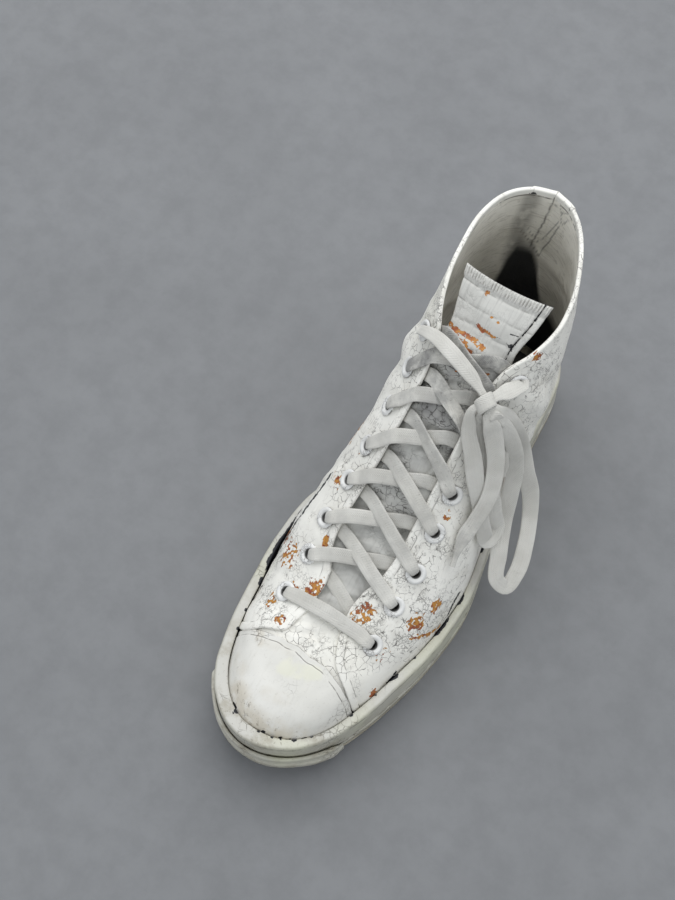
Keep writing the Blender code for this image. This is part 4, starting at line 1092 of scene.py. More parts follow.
def build_bumper(rubber):
    """Stepped strip round the toe, rounded and worn, with tapered ends."""
    turns = np.linspace(-BUMPER_REACH, BUMPER_REACH, BUMPER_COLUMNS)
    taper = 0.45 + 0.55 * smooth_step(BUMPER_REACH - np.abs(turns), 0.0, 0.12 * BUMPER_REACH)
    back = OUTSOLE_LIP + GAP
    plan = sole_line(turns)
    spot = at_height(plan, 0.0)
    face = back + BUMPER_THICK * taper + 0.00018 * waves(spot, 0.016, 41)
    step = 0.25 * BUMPER_THICK
    top = OUTSOLE_THICK + (BUMPER_HEIGHT - OUTSOLE_THICK) * taper + 0.0002 * waves(spot, 0.02, 42)
    foot = 0.25 * OUTSOLE_THICK
    middle = 0.45 * BUMPER_HEIGHT
    profile = (
        (-back, foot), (-face + 0.0006, foot), (-face, foot + 0.0006), (-face, 0.7 * middle),
        (-face + 0.0001, middle - 0.0004), (-face + 0.6 * step, middle + 0.0001),
        (-face + step, middle + 0.5 * step), (-face + step, 0.5 * (middle + top)),
        (-face + step, top - 2.2 * step), (-face + 1.15 * step, top - 1.2 * step),
        (-face + 1.6 * step, top - 0.5 * step), (-face + 2.3 * step, top), (-back - 0.0002, top),
        (-back, top - 0.0003),
    )
    sections = ring_sections(turns, profile)
    shape = sections.shape[:2]
    fields = {
        "top": np.zeros(shape), "level": np.full(shape, 0.012), "black": np.zeros(shape),
        "dirt": np.full(shape, 1.0),
    }
    made = add_sweep("toe_strip", sections, (rubber,), fields)
    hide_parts("toe_bumper")


def plank(name, inset, grid, finish, levels):
    """Plate between the two sides of the sole's outline; levels gives its heights."""
    rows, columns = grid
    turns = 0.5 - 0.5 * np.cos(np.linspace(0.055, math.pi - 0.055, rows))
    right = offset_line(turns, np.full(rows, inset))
    left = offset_line(-turns, np.full(rows, inset))
    part = (0.5 - 0.5 * np.cos(np.linspace(0.0, math.pi, columns)))[None, :, None]
    plan = left[:, None] * (1 - part) + right[:, None] * part
    rim = np.minimum(distance_to(plan, right), distance_to(plan, left))
    over, under = levels(plan, rim)
    return add_shell(name, at_height(plan, over), at_height(plan, under), (finish,), {"edge": rim})


def build_outsole(settings, rubber):
    """Sole plate with a worn zigzag tread cut into its underside."""
    def levels(plan, rim):
        """Heights of the upper and the lower face."""
        station = station_of(plan[..., 1])
        low, rise, fall, high = ARCH_STATIONS
        hollow = smooth_step(station, low, rise) * (1 - smooth_step(station, fall, high))
        base = ground(station)
        inside = smooth_step(rim, 0.0045, 0.0055)
        bend = np.abs((plan[..., 0] / 0.009) % 1.0 - 0.5)
        groove = 0.5 + 0.5 * np.sin(2 * math.pi * (plan[..., 1] / 0.0052 + bend))
        tread = settings.tread * smooth_step(groove, 0.55, 0.85) * inside
        under = base + ARCH_HOLLOW * hollow * smooth_step(rim, 0.002, 0.004) + tread
        return base + OUTSOLE_THICK, under
    made = plank("sole_plate", -OUTSOLE_LIP, SOLE_GRID, rubber, levels)
    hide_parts("outsole")


def build_insole(cloth):
    """Footbed, dished under the heel and the ball, with a soft unevenness."""
    inset = FOXING_WALL + TOE_EXTRA_WALL + 2 * GAP + UPPER_WALL + LAYER_STEP + 2 * GAP

    def levels(plan, rim):
        """Heights of the upper and the lower face."""
        base = ground(station_of(plan[..., 1])) + OUTSOLE_THICK + GAP
        dish = 0.3 * INSOLE_THICK * smooth_step(rim, 0.0, 0.03)
        soft = 0.00025 * waves(at_height(plan, 0.0), 0.03, 51)
        return base + INSOLE_THICK - dish + soft, base
    made = plank("footbed_pad", inset, FOOTBED_GRID, cloth, levels)
    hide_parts("insole")


# Folds of the tongue: depth, width, and places as (across -1 to 1, along 0 to 1).
TONGUE_FOLDS = (
    (0.0007, 0.002, ((-0.55, 0.1), (0.0, 0.14), (0.55, 0.12))),
    (0.0007, 0.0022, ((-0.7, 0.21), (-0.1, 0.24), (0.6, 0.22))),
    (-0.001, 0.0048, ((-0.45, 0.3), (0.1, 0.31), (0.5, 0.3))),
    (0.0009, 0.0022, ((-0.75, 0.36), (-0.1, 0.38), (0.7, 0.36))),
    (-0.0011, 0.005, ((-0.4, 0.44), (0.2, 0.46), (0.55, 0.44))),
    (0.001, 0.0024, ((-0.75, 0.52), (0.0, 0.54), (0.75, 0.5))),
    (-0.0012, 0.0055, ((-0.4, 0.6), (0.2, 0.61), (0.6, 0.6))),
    (0.0008, 0.002, ((-0.7, 0.57), (-0.2, 0.6), (0.3, 0.66), (0.8, 0.68))),
    (0.0009, 0.0022, ((-0.8, 0.7), (-0.2, 0.67), (0.5, 0.72))),
    (0.0006, 0.0014, ((-0.6, 0.43), (-0.1, 0.47), (0.3, 0.41))),
    (0.0005, 0.0012, ((-0.5, 0.28), (0.05, 0.33), (0.45, 0.27))),
    (0.0005, 0.0012, ((-0.1, 0.55), (0.1, 0.62), (0.25, 0.7))),
    (0.0005, 0.0012, ((0.3, 0.5), (0.35, 0.57), (0.55, 0.66))),
    (0.0004, 0.001, ((-0.45, 0.17), (0.1, 0.21), (0.5, 0.16))),
    (0.0004, 0.0009, ((-0.9, 0.872), (-0.4, 0.882), (0.3, 0.872), (0.85, 0.866))),
    (0.0004, 0.001, ((-0.7, 0.48), (-0.2, 0.5), (0.1, 0.56), (0.6, 0.58))),
    (0.0005, 0.0011, ((-0.8, 0.63), (-0.3, 0.62), (0.1, 0.65), (0.5, 0.62))),
)
# Coats of the tongue's paint that are gone: across, along, reach, strength.
TONGUE_RUST = (
    (-0.34, 0.967, 0.0013, 0.95), (-0.02, 0.921, 0.0008, 0.8), (0.18, 0.916, 0.0009, 0.7),
    (-0.3, 0.749, 0.003, 0.62), (-0.44, 0.778, 0.0024, 0.66), (-0.27, 0.653, 0.0022, 0.95),
    (-0.12, 0.657, 0.0024, 0.95), (0.62, 0.64, 0.0018, 0.8), (-0.1, 0.56, 0.0014, 0.7),
)
TONGUE_RUST_LINES = (
    (0.0016, 0.76, ((-0.92, 0.845), (-0.5, 0.834), (-0.22, 0.841), (0.0, 0.835), (0.16, 0.822))),
    (0.0017, 0.72, ((-0.46, 0.79), (-0.3, 0.749), (-0.16, 0.741))),
    (0.0016, 0.7, ((-0.3, 0.76), (-0.08, 0.782), (0.06, 0.766), (0.21, 0.76))),
    (0.0012, 0.66, ((-0.36, 0.8), (-0.2, 0.795), (-0.08, 0.782))),
    (0.001, 0.72, ((-0.26, 0.892), (-0.1, 0.88), (0.02, 0.883), (0.31, 0.877))),
    (0.0006, 0.85, ((-0.1, 0.713), (0.1, 0.722), (0.24, 0.732), (0.51, 0.753))),
)
# Specks of the tongue where black shows: reach, strength, places.
TONGUE_BLACK_LINES = (
    (0.0006, 0.75, ((0.58, 0.904), (0.74, 0.902))),
    (0.0006, 0.75, ((0.74, 0.878), (0.84, 0.862))),
    (0.0005, 0.62, ((0.3, 0.88), (0.5, 0.884), (0.72, 0.872))),
    (0.0006, 0.65, ((0.4, 0.79), (0.52, 0.786))),
)
# Lines across the tongue below its top edge: distance from it, depth, width.
TONGUE_SEAMS = ((0.0062, 0.0006, 0.0006), (0.015, 0.0003, 0.0007))


def refine(grid, rows, columns):
    """The same surface with more rows and columns, by smooth curves both ways."""
    for wanted in (rows, columns):
        count, other = grid.shape[:2]
        flat = np.column_stack([np.arange(count), grid.reshape(count, -1)])
        at = np.linspace(0, count - 1, wanted)
        fine = np.stack([spline(flat, k, at) for k in range(1, flat.shape[1])], axis=1)
        grid = fine.reshape(wanted, other, 3).transpose(1, 0, 2)
    return grid


def build_tongue(settings, leather, lining):
    """Tongue under the laces: pillows between them, wrinkles, and a ribbed stitched top."""
    rows, columns = TONGUE_GRID
    base = refine(tongue_rows(), rows, columns)
    normal = grid_normals(base)
    normal *= np.sign(np.mean(normal[..., 2]))
    along = np.linspace(0.0, 1.0, rows)

    def face(place, share):
        """Points of the tongue's face at these places across and along it."""
        row = share * (rows - 1)
        column = (place + 1) / 2 * (columns - 1)
        return base[np.rint(row).astype(int), np.rint(column).astype(int)]

    def line(places):
        """Points of the tongue's face along listed pairs."""
        return face(*hand_line(places, 8))

    moved = np.zeros((rows, columns))
    for depth, width, places in TONGUE_FOLDS:
        away = distance_to(base, line(places))
        moved -= 1.5 * settings.wrinkle * depth * bump(away, 0.0, width)
    fine = waves(base * np.array([1.0, 2.6, 1.6]), 0.0075, 61)
    middle = smooth_step(along, 0.04, 0.12) * (1 - smooth_step(along, 0.74, 0.8))
    moved += settings.wrinkle * 0.00035 * fine * middle[:, None]
    moved += 0.0002 * waves(base, 0.016, 62)
    away = distance_to(base, base[-1])
    sides = np.minimum(distance_to(base, base[:, 0]), distance_to(base, base[:, -1]))
    ribs = 0.5 + 0.5 * np.sin(np.cumsum(np.full(columns, 2 * math.pi * 30 / columns)))
    hem = 1 - smooth_step(away, 0.0042, 0.0056)
    moved += hem * (0.0004 + 0.00075 * ribs[None, :] ** 2)
    right = distance_to(base, base[:, -1])
    # Groove beside the curled right edge near the top, also painted black as shade.
    curled = bump(right, 0.0036, 0.0006) * smooth_step(along, 0.76, 0.86)[:, None]
    moved -= 0.0012 * curled
    for place, depth, width in TONGUE_SEAMS:
        moved -= depth * bump(away, place, width)
    edge = np.minimum(away, sides)
    rounding = edge_round(edge, TONGUE_ROUND)
    outer = base + normal * (moved - rounding)[..., None]
    inner = base + normal * (moved - TONGUE_THICK + rounding - 0.0001)[..., None]
    shade = 0.22 + 1.0 * smooth_step(along, 0.28, 0.6)
    shade *= 1 - 0.88 * smooth_step(along, 0.74, 0.86)
    fields = {
        "edge": np.min([np.abs(away - row[0]) for row in TONGUE_SEAMS], axis=0),
        "rust_and_depth_shade": np.maximum(spots(base, TONGUE_RUST, face), bands(base, TONGUE_RUST_LINES, line)),
        # The curl's groove goes into the black field as painted shade.
        "black": np.maximum(0.75 * curled, bands(base, TONGUE_BLACK_LINES, line)),
        "foot": np.full((rows, columns), 0.02),
        "seam": hem * (1 - ribs[None, :]),
        "craze_and_counter_highlight": np.broadcast_to(0.55 * (0.4 + shade)[:, None], (rows, columns)),
        "grey": shade[:, None] * (0.65 + 0.35 * waves(base, 0.02, 63)),
    }
    made = add_shell("tongue_body", outer, inner, (leather, lining), fields, rim=edge < TONGUE_TURN_IN)
    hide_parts("tongue")


def eyelet_frame(side, index):
    """Matrix with its origin on the upper and its Z axis out of it."""
    turn, share = eyelet_place(side, index)
    centre = Vector(upper_surface(turn, share))
    outward = Vector(upper_normal(turn, share))
    turned = outward.to_track_quat("Z", "Y").to_matrix().to_4x4()
    return Matrix.Translation(centre) @ turned


def build_eyelets(metal):
    """Sixteen rounded ring eyelets, painted over, each with its barrel through the wall."""
    bore, rim = EYELET_BORE, EYELET_RADIUS
    wall = bore + EYELET_BARREL
    high = EYELET_SEAT + EYELET_FLANGE
    profile = np.array([
        (bore, -UPPER_WALL - 0.0002), (wall, -UPPER_WALL - 0.0002), (wall, -0.0002),
        (rim - 0.0002, 0.00005), (rim, 0.00035), (rim - 0.0001, 0.0007), (rim - 0.0004, 0.001),
        (rim - 0.0009, high - 0.0002), (0.5 * (bore + rim) + 0.0004, high - 0.00005),
        (0.5 * (bore + rim) - 0.0002, high - 0.0001), (bore + 0.0006, 0.001), (bore + 0.0002, 0.0006),
        (bore, 0.0001), (bore - 0.00005, -0.0008),
    ])
    angles = np.linspace(0.0, 2 * math.pi, RING_CORNERS, endpoint=False)
    x = np.cos(angles)[:, None] * profile[None, :, 0]
    y = np.sin(angles)[:, None] * profile[None, :, 0]
    z = np.broadcast_to(profile[None, :, 1], x.shape)
    ring = np.stack([x, y, z], axis=-1)
    for side, index in EACH_EYELET:
        label = "lateral" if side > 0 else "medial"
        matrix = np.array(eyelet_frame(side, index))
        sections = ring @ matrix[:3, :3].T + matrix[:3, 3]
        away = rim - np.broadcast_to(profile[:, 0], sections.shape[:2])
        made = add_sweep(f"ring_{label}_{index + 1}", sections, (metal,), {"edge": away}, ring=True)
        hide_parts(f"eyelet_{label}_{index + 1}")


def ribbon_outline(roundness):
    """Corners of a flat rounded section, across and up, between -1 and 1."""
    corner = np.linspace(0.0, 2 * math.pi, RIBBON_CORNERS, endpoint=False)
    flat, tall = np.cos(corner), np.sin(corner)
    return np.sign(flat) * np.abs(flat) ** 0.45, np.sign(tall) * np.abs(tall) ** roundness


def ribbon_sections(path, upward, width, thickness):
    """Flat rounded sections along a path, and how far each point is along and across."""
    flat, tall = ribbon_outline(0.8)
    tangent = unit(np.gradient(path, axis=0))
    across = unit(np.cross(tangent, upward))
    up = np.cross(across, tangent)
    sections = (
        path[:, None]
        + across[:, None] * flat[None, :, None] * (0.5 * width)[:, None, None]
        + up[:, None] * tall[None, :, None] * (0.5 * thickness)[:, None, None]
    )
    fields = {
        "along": np.broadcast_to(along_line(path)[:, None], sections.shape[:2]),
        "across": flat[None, :] * 0.5 * width[:, None],
    }
    return sections, fields


def onward_from(here, there, up):
    """Unit vector towards a place, along a surface with this normal."""
    return unit((there - here) - up * float((there - here) @ up))


def lace_route(ends, raised):
    """Route of one run of lace between two eyelets, its upward directions and widths.

    Each end is (side, eyelet index, over), where over is 1 where the lace comes up
    through the eyelet and lies on the quarter, and -1 where it goes under the
    quarter's edge.
    """
    centres = [upper_surface(*eyelet_place(side, index)) for side, index, _ in ends]
    span = np.linalg.norm((centres[1] - centres[0])[:2])
    halves = []
    for (side, index, over), here, there in zip(ends, centres, centres[::-1]):
        crossing = edge_crossing(side, here, there)
        toward = (there - here)[:2]
        if over > 0:
            stops = ((EYELET_RADIUS + 4 * GAP) / span, crossing)
            lift = RIM_RAISE + 2 * GAP + 0.5 * LACE_THICK
        else:
            stops = (crossing - 1.6 * LACE_TUCK / span, crossing)
            lift = -(UPPER_WALL + 2 * GAP + 0.5 * LACE_THICK)
        points = []
        normals = []
        widths = []
        if over > 0:
            up = upper_normal(*eyelet_place(side, index))
            onward = onward_from(here, there, up)
            for forward, height, width in (
                (-0.0002, -0.0052, 0.0044), (0.0, -0.0022, 0.0044), (0.0006, 0.0002, 0.0046),
                (0.002, 0.002, 0.0054), (0.0042, 0.0026, 0.0066),
            ):
                points.append(here + onward * forward + up * height)
                normals.append(up * smooth_step(height, -0.006, 0.002) - onward * 0.8)
                widths.append(width)
            normals[-1] = up
            normals[-2] = up - onward * 0.5
        for stop in stops:
            point, normal = on_upper(side, here[:2] + toward * stop, lift)
            points.append(point)
            normals.append(normal)
            widths.append(LACE_WIDTH)
        points.append(points[-1] + unit(points[-1] - points[-2]) * 0.3 * LACE_WIDTH)
        normals.append(normals[-1])
        widths.append(LACE_WIDTH)
        halves.append((points, normals, widths))
    middle = (halves[0][0][-1] + halves[1][0][-1]) / 2 + np.array([0.0, 0.0, raised])
    upward = halves[0][1][-1] + halves[1][1][-1]
    points = halves[0][0] + [middle] + halves[1][0][::-1]
    normals = halves[0][1] + [unit(upward)] + halves[1][1][::-1]
    widths = halves[0][2] + [LACE_WIDTH] + halves[1][2][::-1]
    return np.array(points), np.array(normals), np.array(widths)


def build_run(name, ends, raised, finish, node, grey=0.0, roll=0.0):
    """One run of flat woven lace, pinched where it comes up through an eyelet."""
    points, normals, widths = lace_route(ends, raised)
    path = curve_through(points, RUN_POINTS)
    upward = evenly(points, RUN_POINTS, normals)
    width = evenly(points, RUN_POINTS, widths)[:, 0]
    part = np.linspace(0.0, 1.0, RUN_POINTS)
    side = unit(np.cross(unit(np.gradient(path, axis=0)), upward))
    upward = unit(upward)
    angle = (roll * np.sin(math.pi * part) ** 2)[:, None]
    upward = upward * np.cos(angle) + side * np.sin(angle)
    thickness = LACE_THICK * (1 + 0.9 * (1 - width / LACE_WIDTH))
    sections, fields = ribbon_sections(path, upward, width, thickness)
    fields["grey"] = np.full(sections.shape[:2], grey)
    made = add_sweep(name, sections, (finish,), fields)
    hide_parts(node)


# Lace runs: level, roll of the crossing run in radians, greyness of its two runs.
LACE_LEVELS = (
    (1, 0.15, 0.1, 0.12), (2, -0.2, 0.1, 0.12), (3, 0.2, 0.12, 0.15),
    (4, -0.45, 0.16, 0.32), (5, 0.6, 0.28, 0.6), (6, -0.3, 0.8, 0.75),
)


def build_laces(finish):
    """The straight bar at the toe, one short hidden-end run and six crossings."""
    build_run("lace_bar_ribbon", ((-1, 0, 1), (1, 0, 1)), 0.0012, finish, "lace_bar", 0.05)
    build_run("lace_run_ribbon", ((1, 0, -1), (-1, 1, -1)), 0.0, finish, "lace_run_1", 0.1)
    for level, roll, grey_under, grey_over in LACE_LEVELS:
        node = f"lace_cross_{level + 1}"
        build_run(
            f"lace_under_{level + 1}", ((-1, level, 1), (1, level + 1, -1)), 0.0, finish, node,
            grey_under,
        )
        build_run(
            f"lace_over_{level + 1}", ((1, level, 1), (-1, level + 1, -1)),
            LACE_THICK + 0.0004, finish, node, grey_over, roll,
        )


# Directions that the face of the lace looks: in the leads and in the bow
LEAD_FACING = np.array([0.1, -0.3, 0.95])
BOW_FACING = np.array([0.42, -0.4, 0.8])


def build_bow(settings, finish):
    """The bow as two strands of woven lace that cross in a wrapped knot."""
    knot = np.array(BOW["lace_knot"])
    leads = {}
    for side, label in ((-1, "lace_lead_medial"), (1, "lace_lead_lateral")):
        here = upper_surface(*eyelet_place(side, 7))
        up = upper_normal(*eyelet_place(side, 7))
        onward = onward_from(here, np.array(BOW[label][0]), up)
        rise = [here + onward * forward + up * height for forward, height in (
            (-0.0002, -0.006), (0.0, -0.0022), (0.0007, 0.0004), (0.0022, 0.0022),
        )]
        leads[label] = np.concatenate([rise, BOW[label][1 if side > 0 else 0:]])
    strands = (
        ("bow_strand_medial", (
            leads["lace_lead_medial"], knot[1:2] + (0.0, 0.0, 0.001), BOW["lace_loop_small"],
            ((0.0218, 0.029, 0.133), (0.0228, 0.03, 0.1352)), BOW["lace_end_long"],
        ), ("lace_lead_medial", "lace_loop_small", "lace_end_long")),
        ("bow_strand_lateral", (
            leads["lace_lead_lateral"], knot[1:2] + (0.0012, 0.0012, 0.0004), BOW["lace_loop_large"],
            ((0.0262, 0.0306, 0.1345), (0.0246, 0.0306, 0.134)), BOW["lace_end_short"],
        ), ("lace_lead_lateral", "lace_loop_large", "lace_end_short")),
    )
    wrap = knot_wrap(knot, finish)
    for name, parts, nodes in strands:
        points = np.concatenate([np.asarray(part, dtype=float) for part in parts])
        path = curve_through(points, BOW_POINTS)
        lead = len(parts[0]) / len(points)
        share = np.linspace(0.0, 1.0, BOW_POINTS)
        blend = smooth_step(share, 0.6 * lead, 1.3 * lead)[:, None]
        upward = LEAD_FACING * (1 - blend) + BOW_FACING * blend
        near = np.linalg.norm(path - knot[1], axis=1)
        width = settings.width * (0.55 + 0.45 * smooth_step(near, 0.005, 0.015))
        start = np.linalg.norm(path - path[0], axis=1)
        width *= 0.58 + 0.42 * smooth_step(start, 0.005, 0.016)
        length = float(along_line(path)[-1])
        left = (1 - share) * length
        if name == "bow_strand_medial":
            width *= 0.76 + 0.24 * smooth_step(share, 0.7 * lead, 1.2 * lead)
            width *= 0.3 + 0.7 * smooth_step(left, 0.004, 0.02)
        else:
            width *= 0.75 + 0.25 * smooth_step(left, 0.001, 0.006)
        width *= 1 + 0.06 * waves(path, 0.03, 71)
        thickness = settings.thickness * (1 + 1.0 * (1 - width / settings.width))
        sections, fields = ribbon_sections(path, upward, width, thickness)
        fields["grey"] = np.broadcast_to(
            (0.35 * (1 - smooth_step(left, 0.01, 0.045)) * (name == "bow_strand_medial"))[:, None],
            sections.shape[:2],
        )
        made = add_sweep(name, sections, (finish,), fields)
        for node in nodes:
            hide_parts(node)


def knot_wrap(knot, finish):
    """Turn of lace round the knot, as a closed ribbon about the knot's own line."""
    axis = unit(knot[2] - knot[0])
    up = np.array([0.35, -0.35, 0.87])
    up = unit(up - axis * float(up @ axis))
    side = np.cross(axis, up)
    angles = np.linspace(0.0, 2 * math.pi, WRAP_POINTS, endpoint=False)
    centre = knot[1] + axis * 0.0004
    path = (
        centre
        + side * (0.0043 * np.cos(angles))[:, None]
        + up * (0.0034 * np.sin(angles))[:, None]
        + axis * (0.0009 * np.cos(angles + 0.6))[:, None]
    )
    flat, tall = ribbon_outline(1.0)
    outward = path - centre
    outward = unit(outward - (outward @ axis)[:, None] * axis)
    sections = (
        path[:, None]
        + axis[None, None] * flat[None, :, None] * 0.0037
        + outward[:, None] * tall[None, :, None] * 0.0008
    )
    shape = sections.shape[:2]
    fields = {
        "along": np.broadcast_to((angles * 0.004)[:, None], shape),
        "across": np.broadcast_to(flat[None, :] * 0.0037, shape),
        "grey": np.full(shape, 0.1),
    }
    made = add_sweep("knot_wrap", sections, (finish,), fields, ring=True)
    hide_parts("lace_knot")
    return made


# Black coat under the paint
BLACK_COAT = (0.012, 0.013, 0.017)


class Shader:
    """Short calls that add nodes to one material."""

    def __init__(self, name):
        self.material = bpy.data.materials.new("worn_" + name)
        self.material.use_nodes = True
        self.tree = self.material.node_tree
        self.surface = self.tree.nodes["Principled BSDF"]
        self.place = self.node("ShaderNodeTexCoord", {}).outputs["Object"]
        self.base = None

    def node(self, kind, inputs, **settings):
        """Node of this kind, with its settings and its inputs given or linked."""
        made = self.tree.nodes.new(kind)
        for key, value in settings.items():
            setattr(made, key, value)
        for key, value in inputs.items():
            if isinstance(value, bpy.types.NodeSocket):
                self.tree.links.new(value, made.inputs[key])
            else:
                made.inputs[key].default_value = value
        return made

    def math(self, operation, first, second=0.0, clamp=False):
        """Result of one sum on two values."""
        made = self.node("ShaderNodeMath", {0: first, 1: second}, operation=operation)
        made.use_clamp = clamp
        return made.outputs[0]

    def times(self, first, second, clamp=False):
        """Product, kept between 0 and 1 with clamp."""
        return self.math("MULTIPLY", first, second, clamp)

    def plus(self, first, second):
        """Sum."""
        return self.math("ADD", first, second)

    def minus(self, first, second):
        """Difference."""
        return self.math("SUBTRACT", first, second)

    def most(self, first, second):
        """Larger of two values."""
        return self.math("MAXIMUM", first, second)

    def ramp(self, value, low, high, to_low=0.0, to_high=1.0):
        """Soft step of a value between low and high."""
        made = self.node(
            "ShaderNodeMapRange", {0: value, 1: low, 2: high, 3: to_low, 4: to_high},
            interpolation_type="SMOOTHSTEP",
        )
        return made.outputs[0]

    def fall(self, value, near, far, strength=1.0):
        """Strength up to near, falling softly to 0 at far."""
        return self.ramp(value, near, far, strength, 0.0)

    def noise(self, scale, detail=3.0, rough=0.55, place=None):
        """Noise value, about 0.5 on average."""
        made = self.node("ShaderNodeTexNoise", {
            "Vector": place or self.place, "Scale": scale, "Detail": detail, "Roughness": rough,
        })
        return made.outputs[0]

    def shifted(self, scale, reach):
        """Coordinates pushed about by a noise of this scale, by up to this reach."""
        made = self.node("ShaderNodeTexNoise", {
            "Vector": self.place, "Scale": scale, "Detail": 2.0,
        })
        spread = self.node(
            "ShaderNodeVectorMath", {0: made.outputs["Color"], 1: (0.5, 0.5, 0.5)},
            operation="SUBTRACT",
        ).outputs[0]
        spread = self.node("ShaderNodeVectorMath", {0: spread, "Scale": reach}, operation="SCALE")
        return self.node(
            "ShaderNodeVectorMath", {0: self.place, 1: spread.outputs[0]}, operation="ADD",
        ).outputs[0]

    def stretched(self, x, y, z, place=None):
        """Coordinates scaled by axis."""
        return self.node(
            "ShaderNodeVectorMath", {0: place or self.place, 1: (x, y, z)}, operation="MULTIPLY",
        ).outputs[0]

    def net(self, scale, place):
        """Distance from the edges of a cell pattern."""
        return self.node(
            "ShaderNodeTexVoronoi", {"Vector": place, "Scale": scale}, feature="DISTANCE_TO_EDGE",
        ).outputs["Distance"]

    def cells(self, scale, place):
        """Cell pattern, with a value of its own for each cell."""
        made = self.node("ShaderNodeTexVoronoi", {"Vector": place, "Scale": scale}, feature="F1")
        return self.node("ShaderNodeSeparateColor", {0: made.outputs["Color"]}).outputs[0]

    def field(self, name):
        """Value of a field that is stored on the mesh."""
        return self.node("ShaderNodeAttribute", {}, attribute_name=name).outputs["Fac"]

    def mix(self, share, first, second, blend="MIX"):
        """Mix of two colours."""
        inputs = {0: share}
        for key, value in ((6, first), (7, second)):
            inputs[key] = value if isinstance(value, bpy.types.NodeSocket) else (*value, 1.0)
        made = self.node("ShaderNodeMix", inputs, data_type="RGBA", blend_type=blend)
        return made.outputs[2]

    def patch(self, low, high, scale, detail=3.0, rough=0.55):
        """Soft patches of 1 where a noise of this scale is past high, and 0 under low."""
        return self.ramp(self.noise(scale, detail, rough), low, high)

    def scatter(self, reach, scale, detail=3.0, rough=0.55):
        """Noise about zero, of this reach."""
        return self.times(self.minus(self.noise(scale, detail, rough), 0.5), reach)

    def line_at(self, value, place, near, far, strength):
        """Line where a value is at this place, gone where it is past far from it."""
        return self.fall(self.math("ABSOLUTE", self.minus(value, place)), near, far, strength)

    def coat(self, share, colour, strength=None):
        """Lay a colour over what is there, by this share of this strength."""
        if strength is not None:
            share = self.times(share, strength)
        self.base = self.mix(share, self.base, colour)

    def finish(self, rough, height=None, depth=0.0003, specular=0.35):
        """Connect colour, roughness and bump to the surface."""
        self.tree.links.new(self.base, self.surface.inputs["Base Color"])
        if isinstance(rough, bpy.types.NodeSocket):
            self.tree.links.new(rough, self.surface.inputs["Roughness"])
        else:
            self.surface.inputs["Roughness"].default_value = rough
        self.surface.inputs["Specular IOR Level"].default_value = specular
        if height is not None:
            bump = self.node("ShaderNodeBump", {"Height": height, "Distance": depth, "Strength": 1.0})
            self.tree.links.new(bump.outputs[0], self.surface.inputs["Normal"])
        return self.material


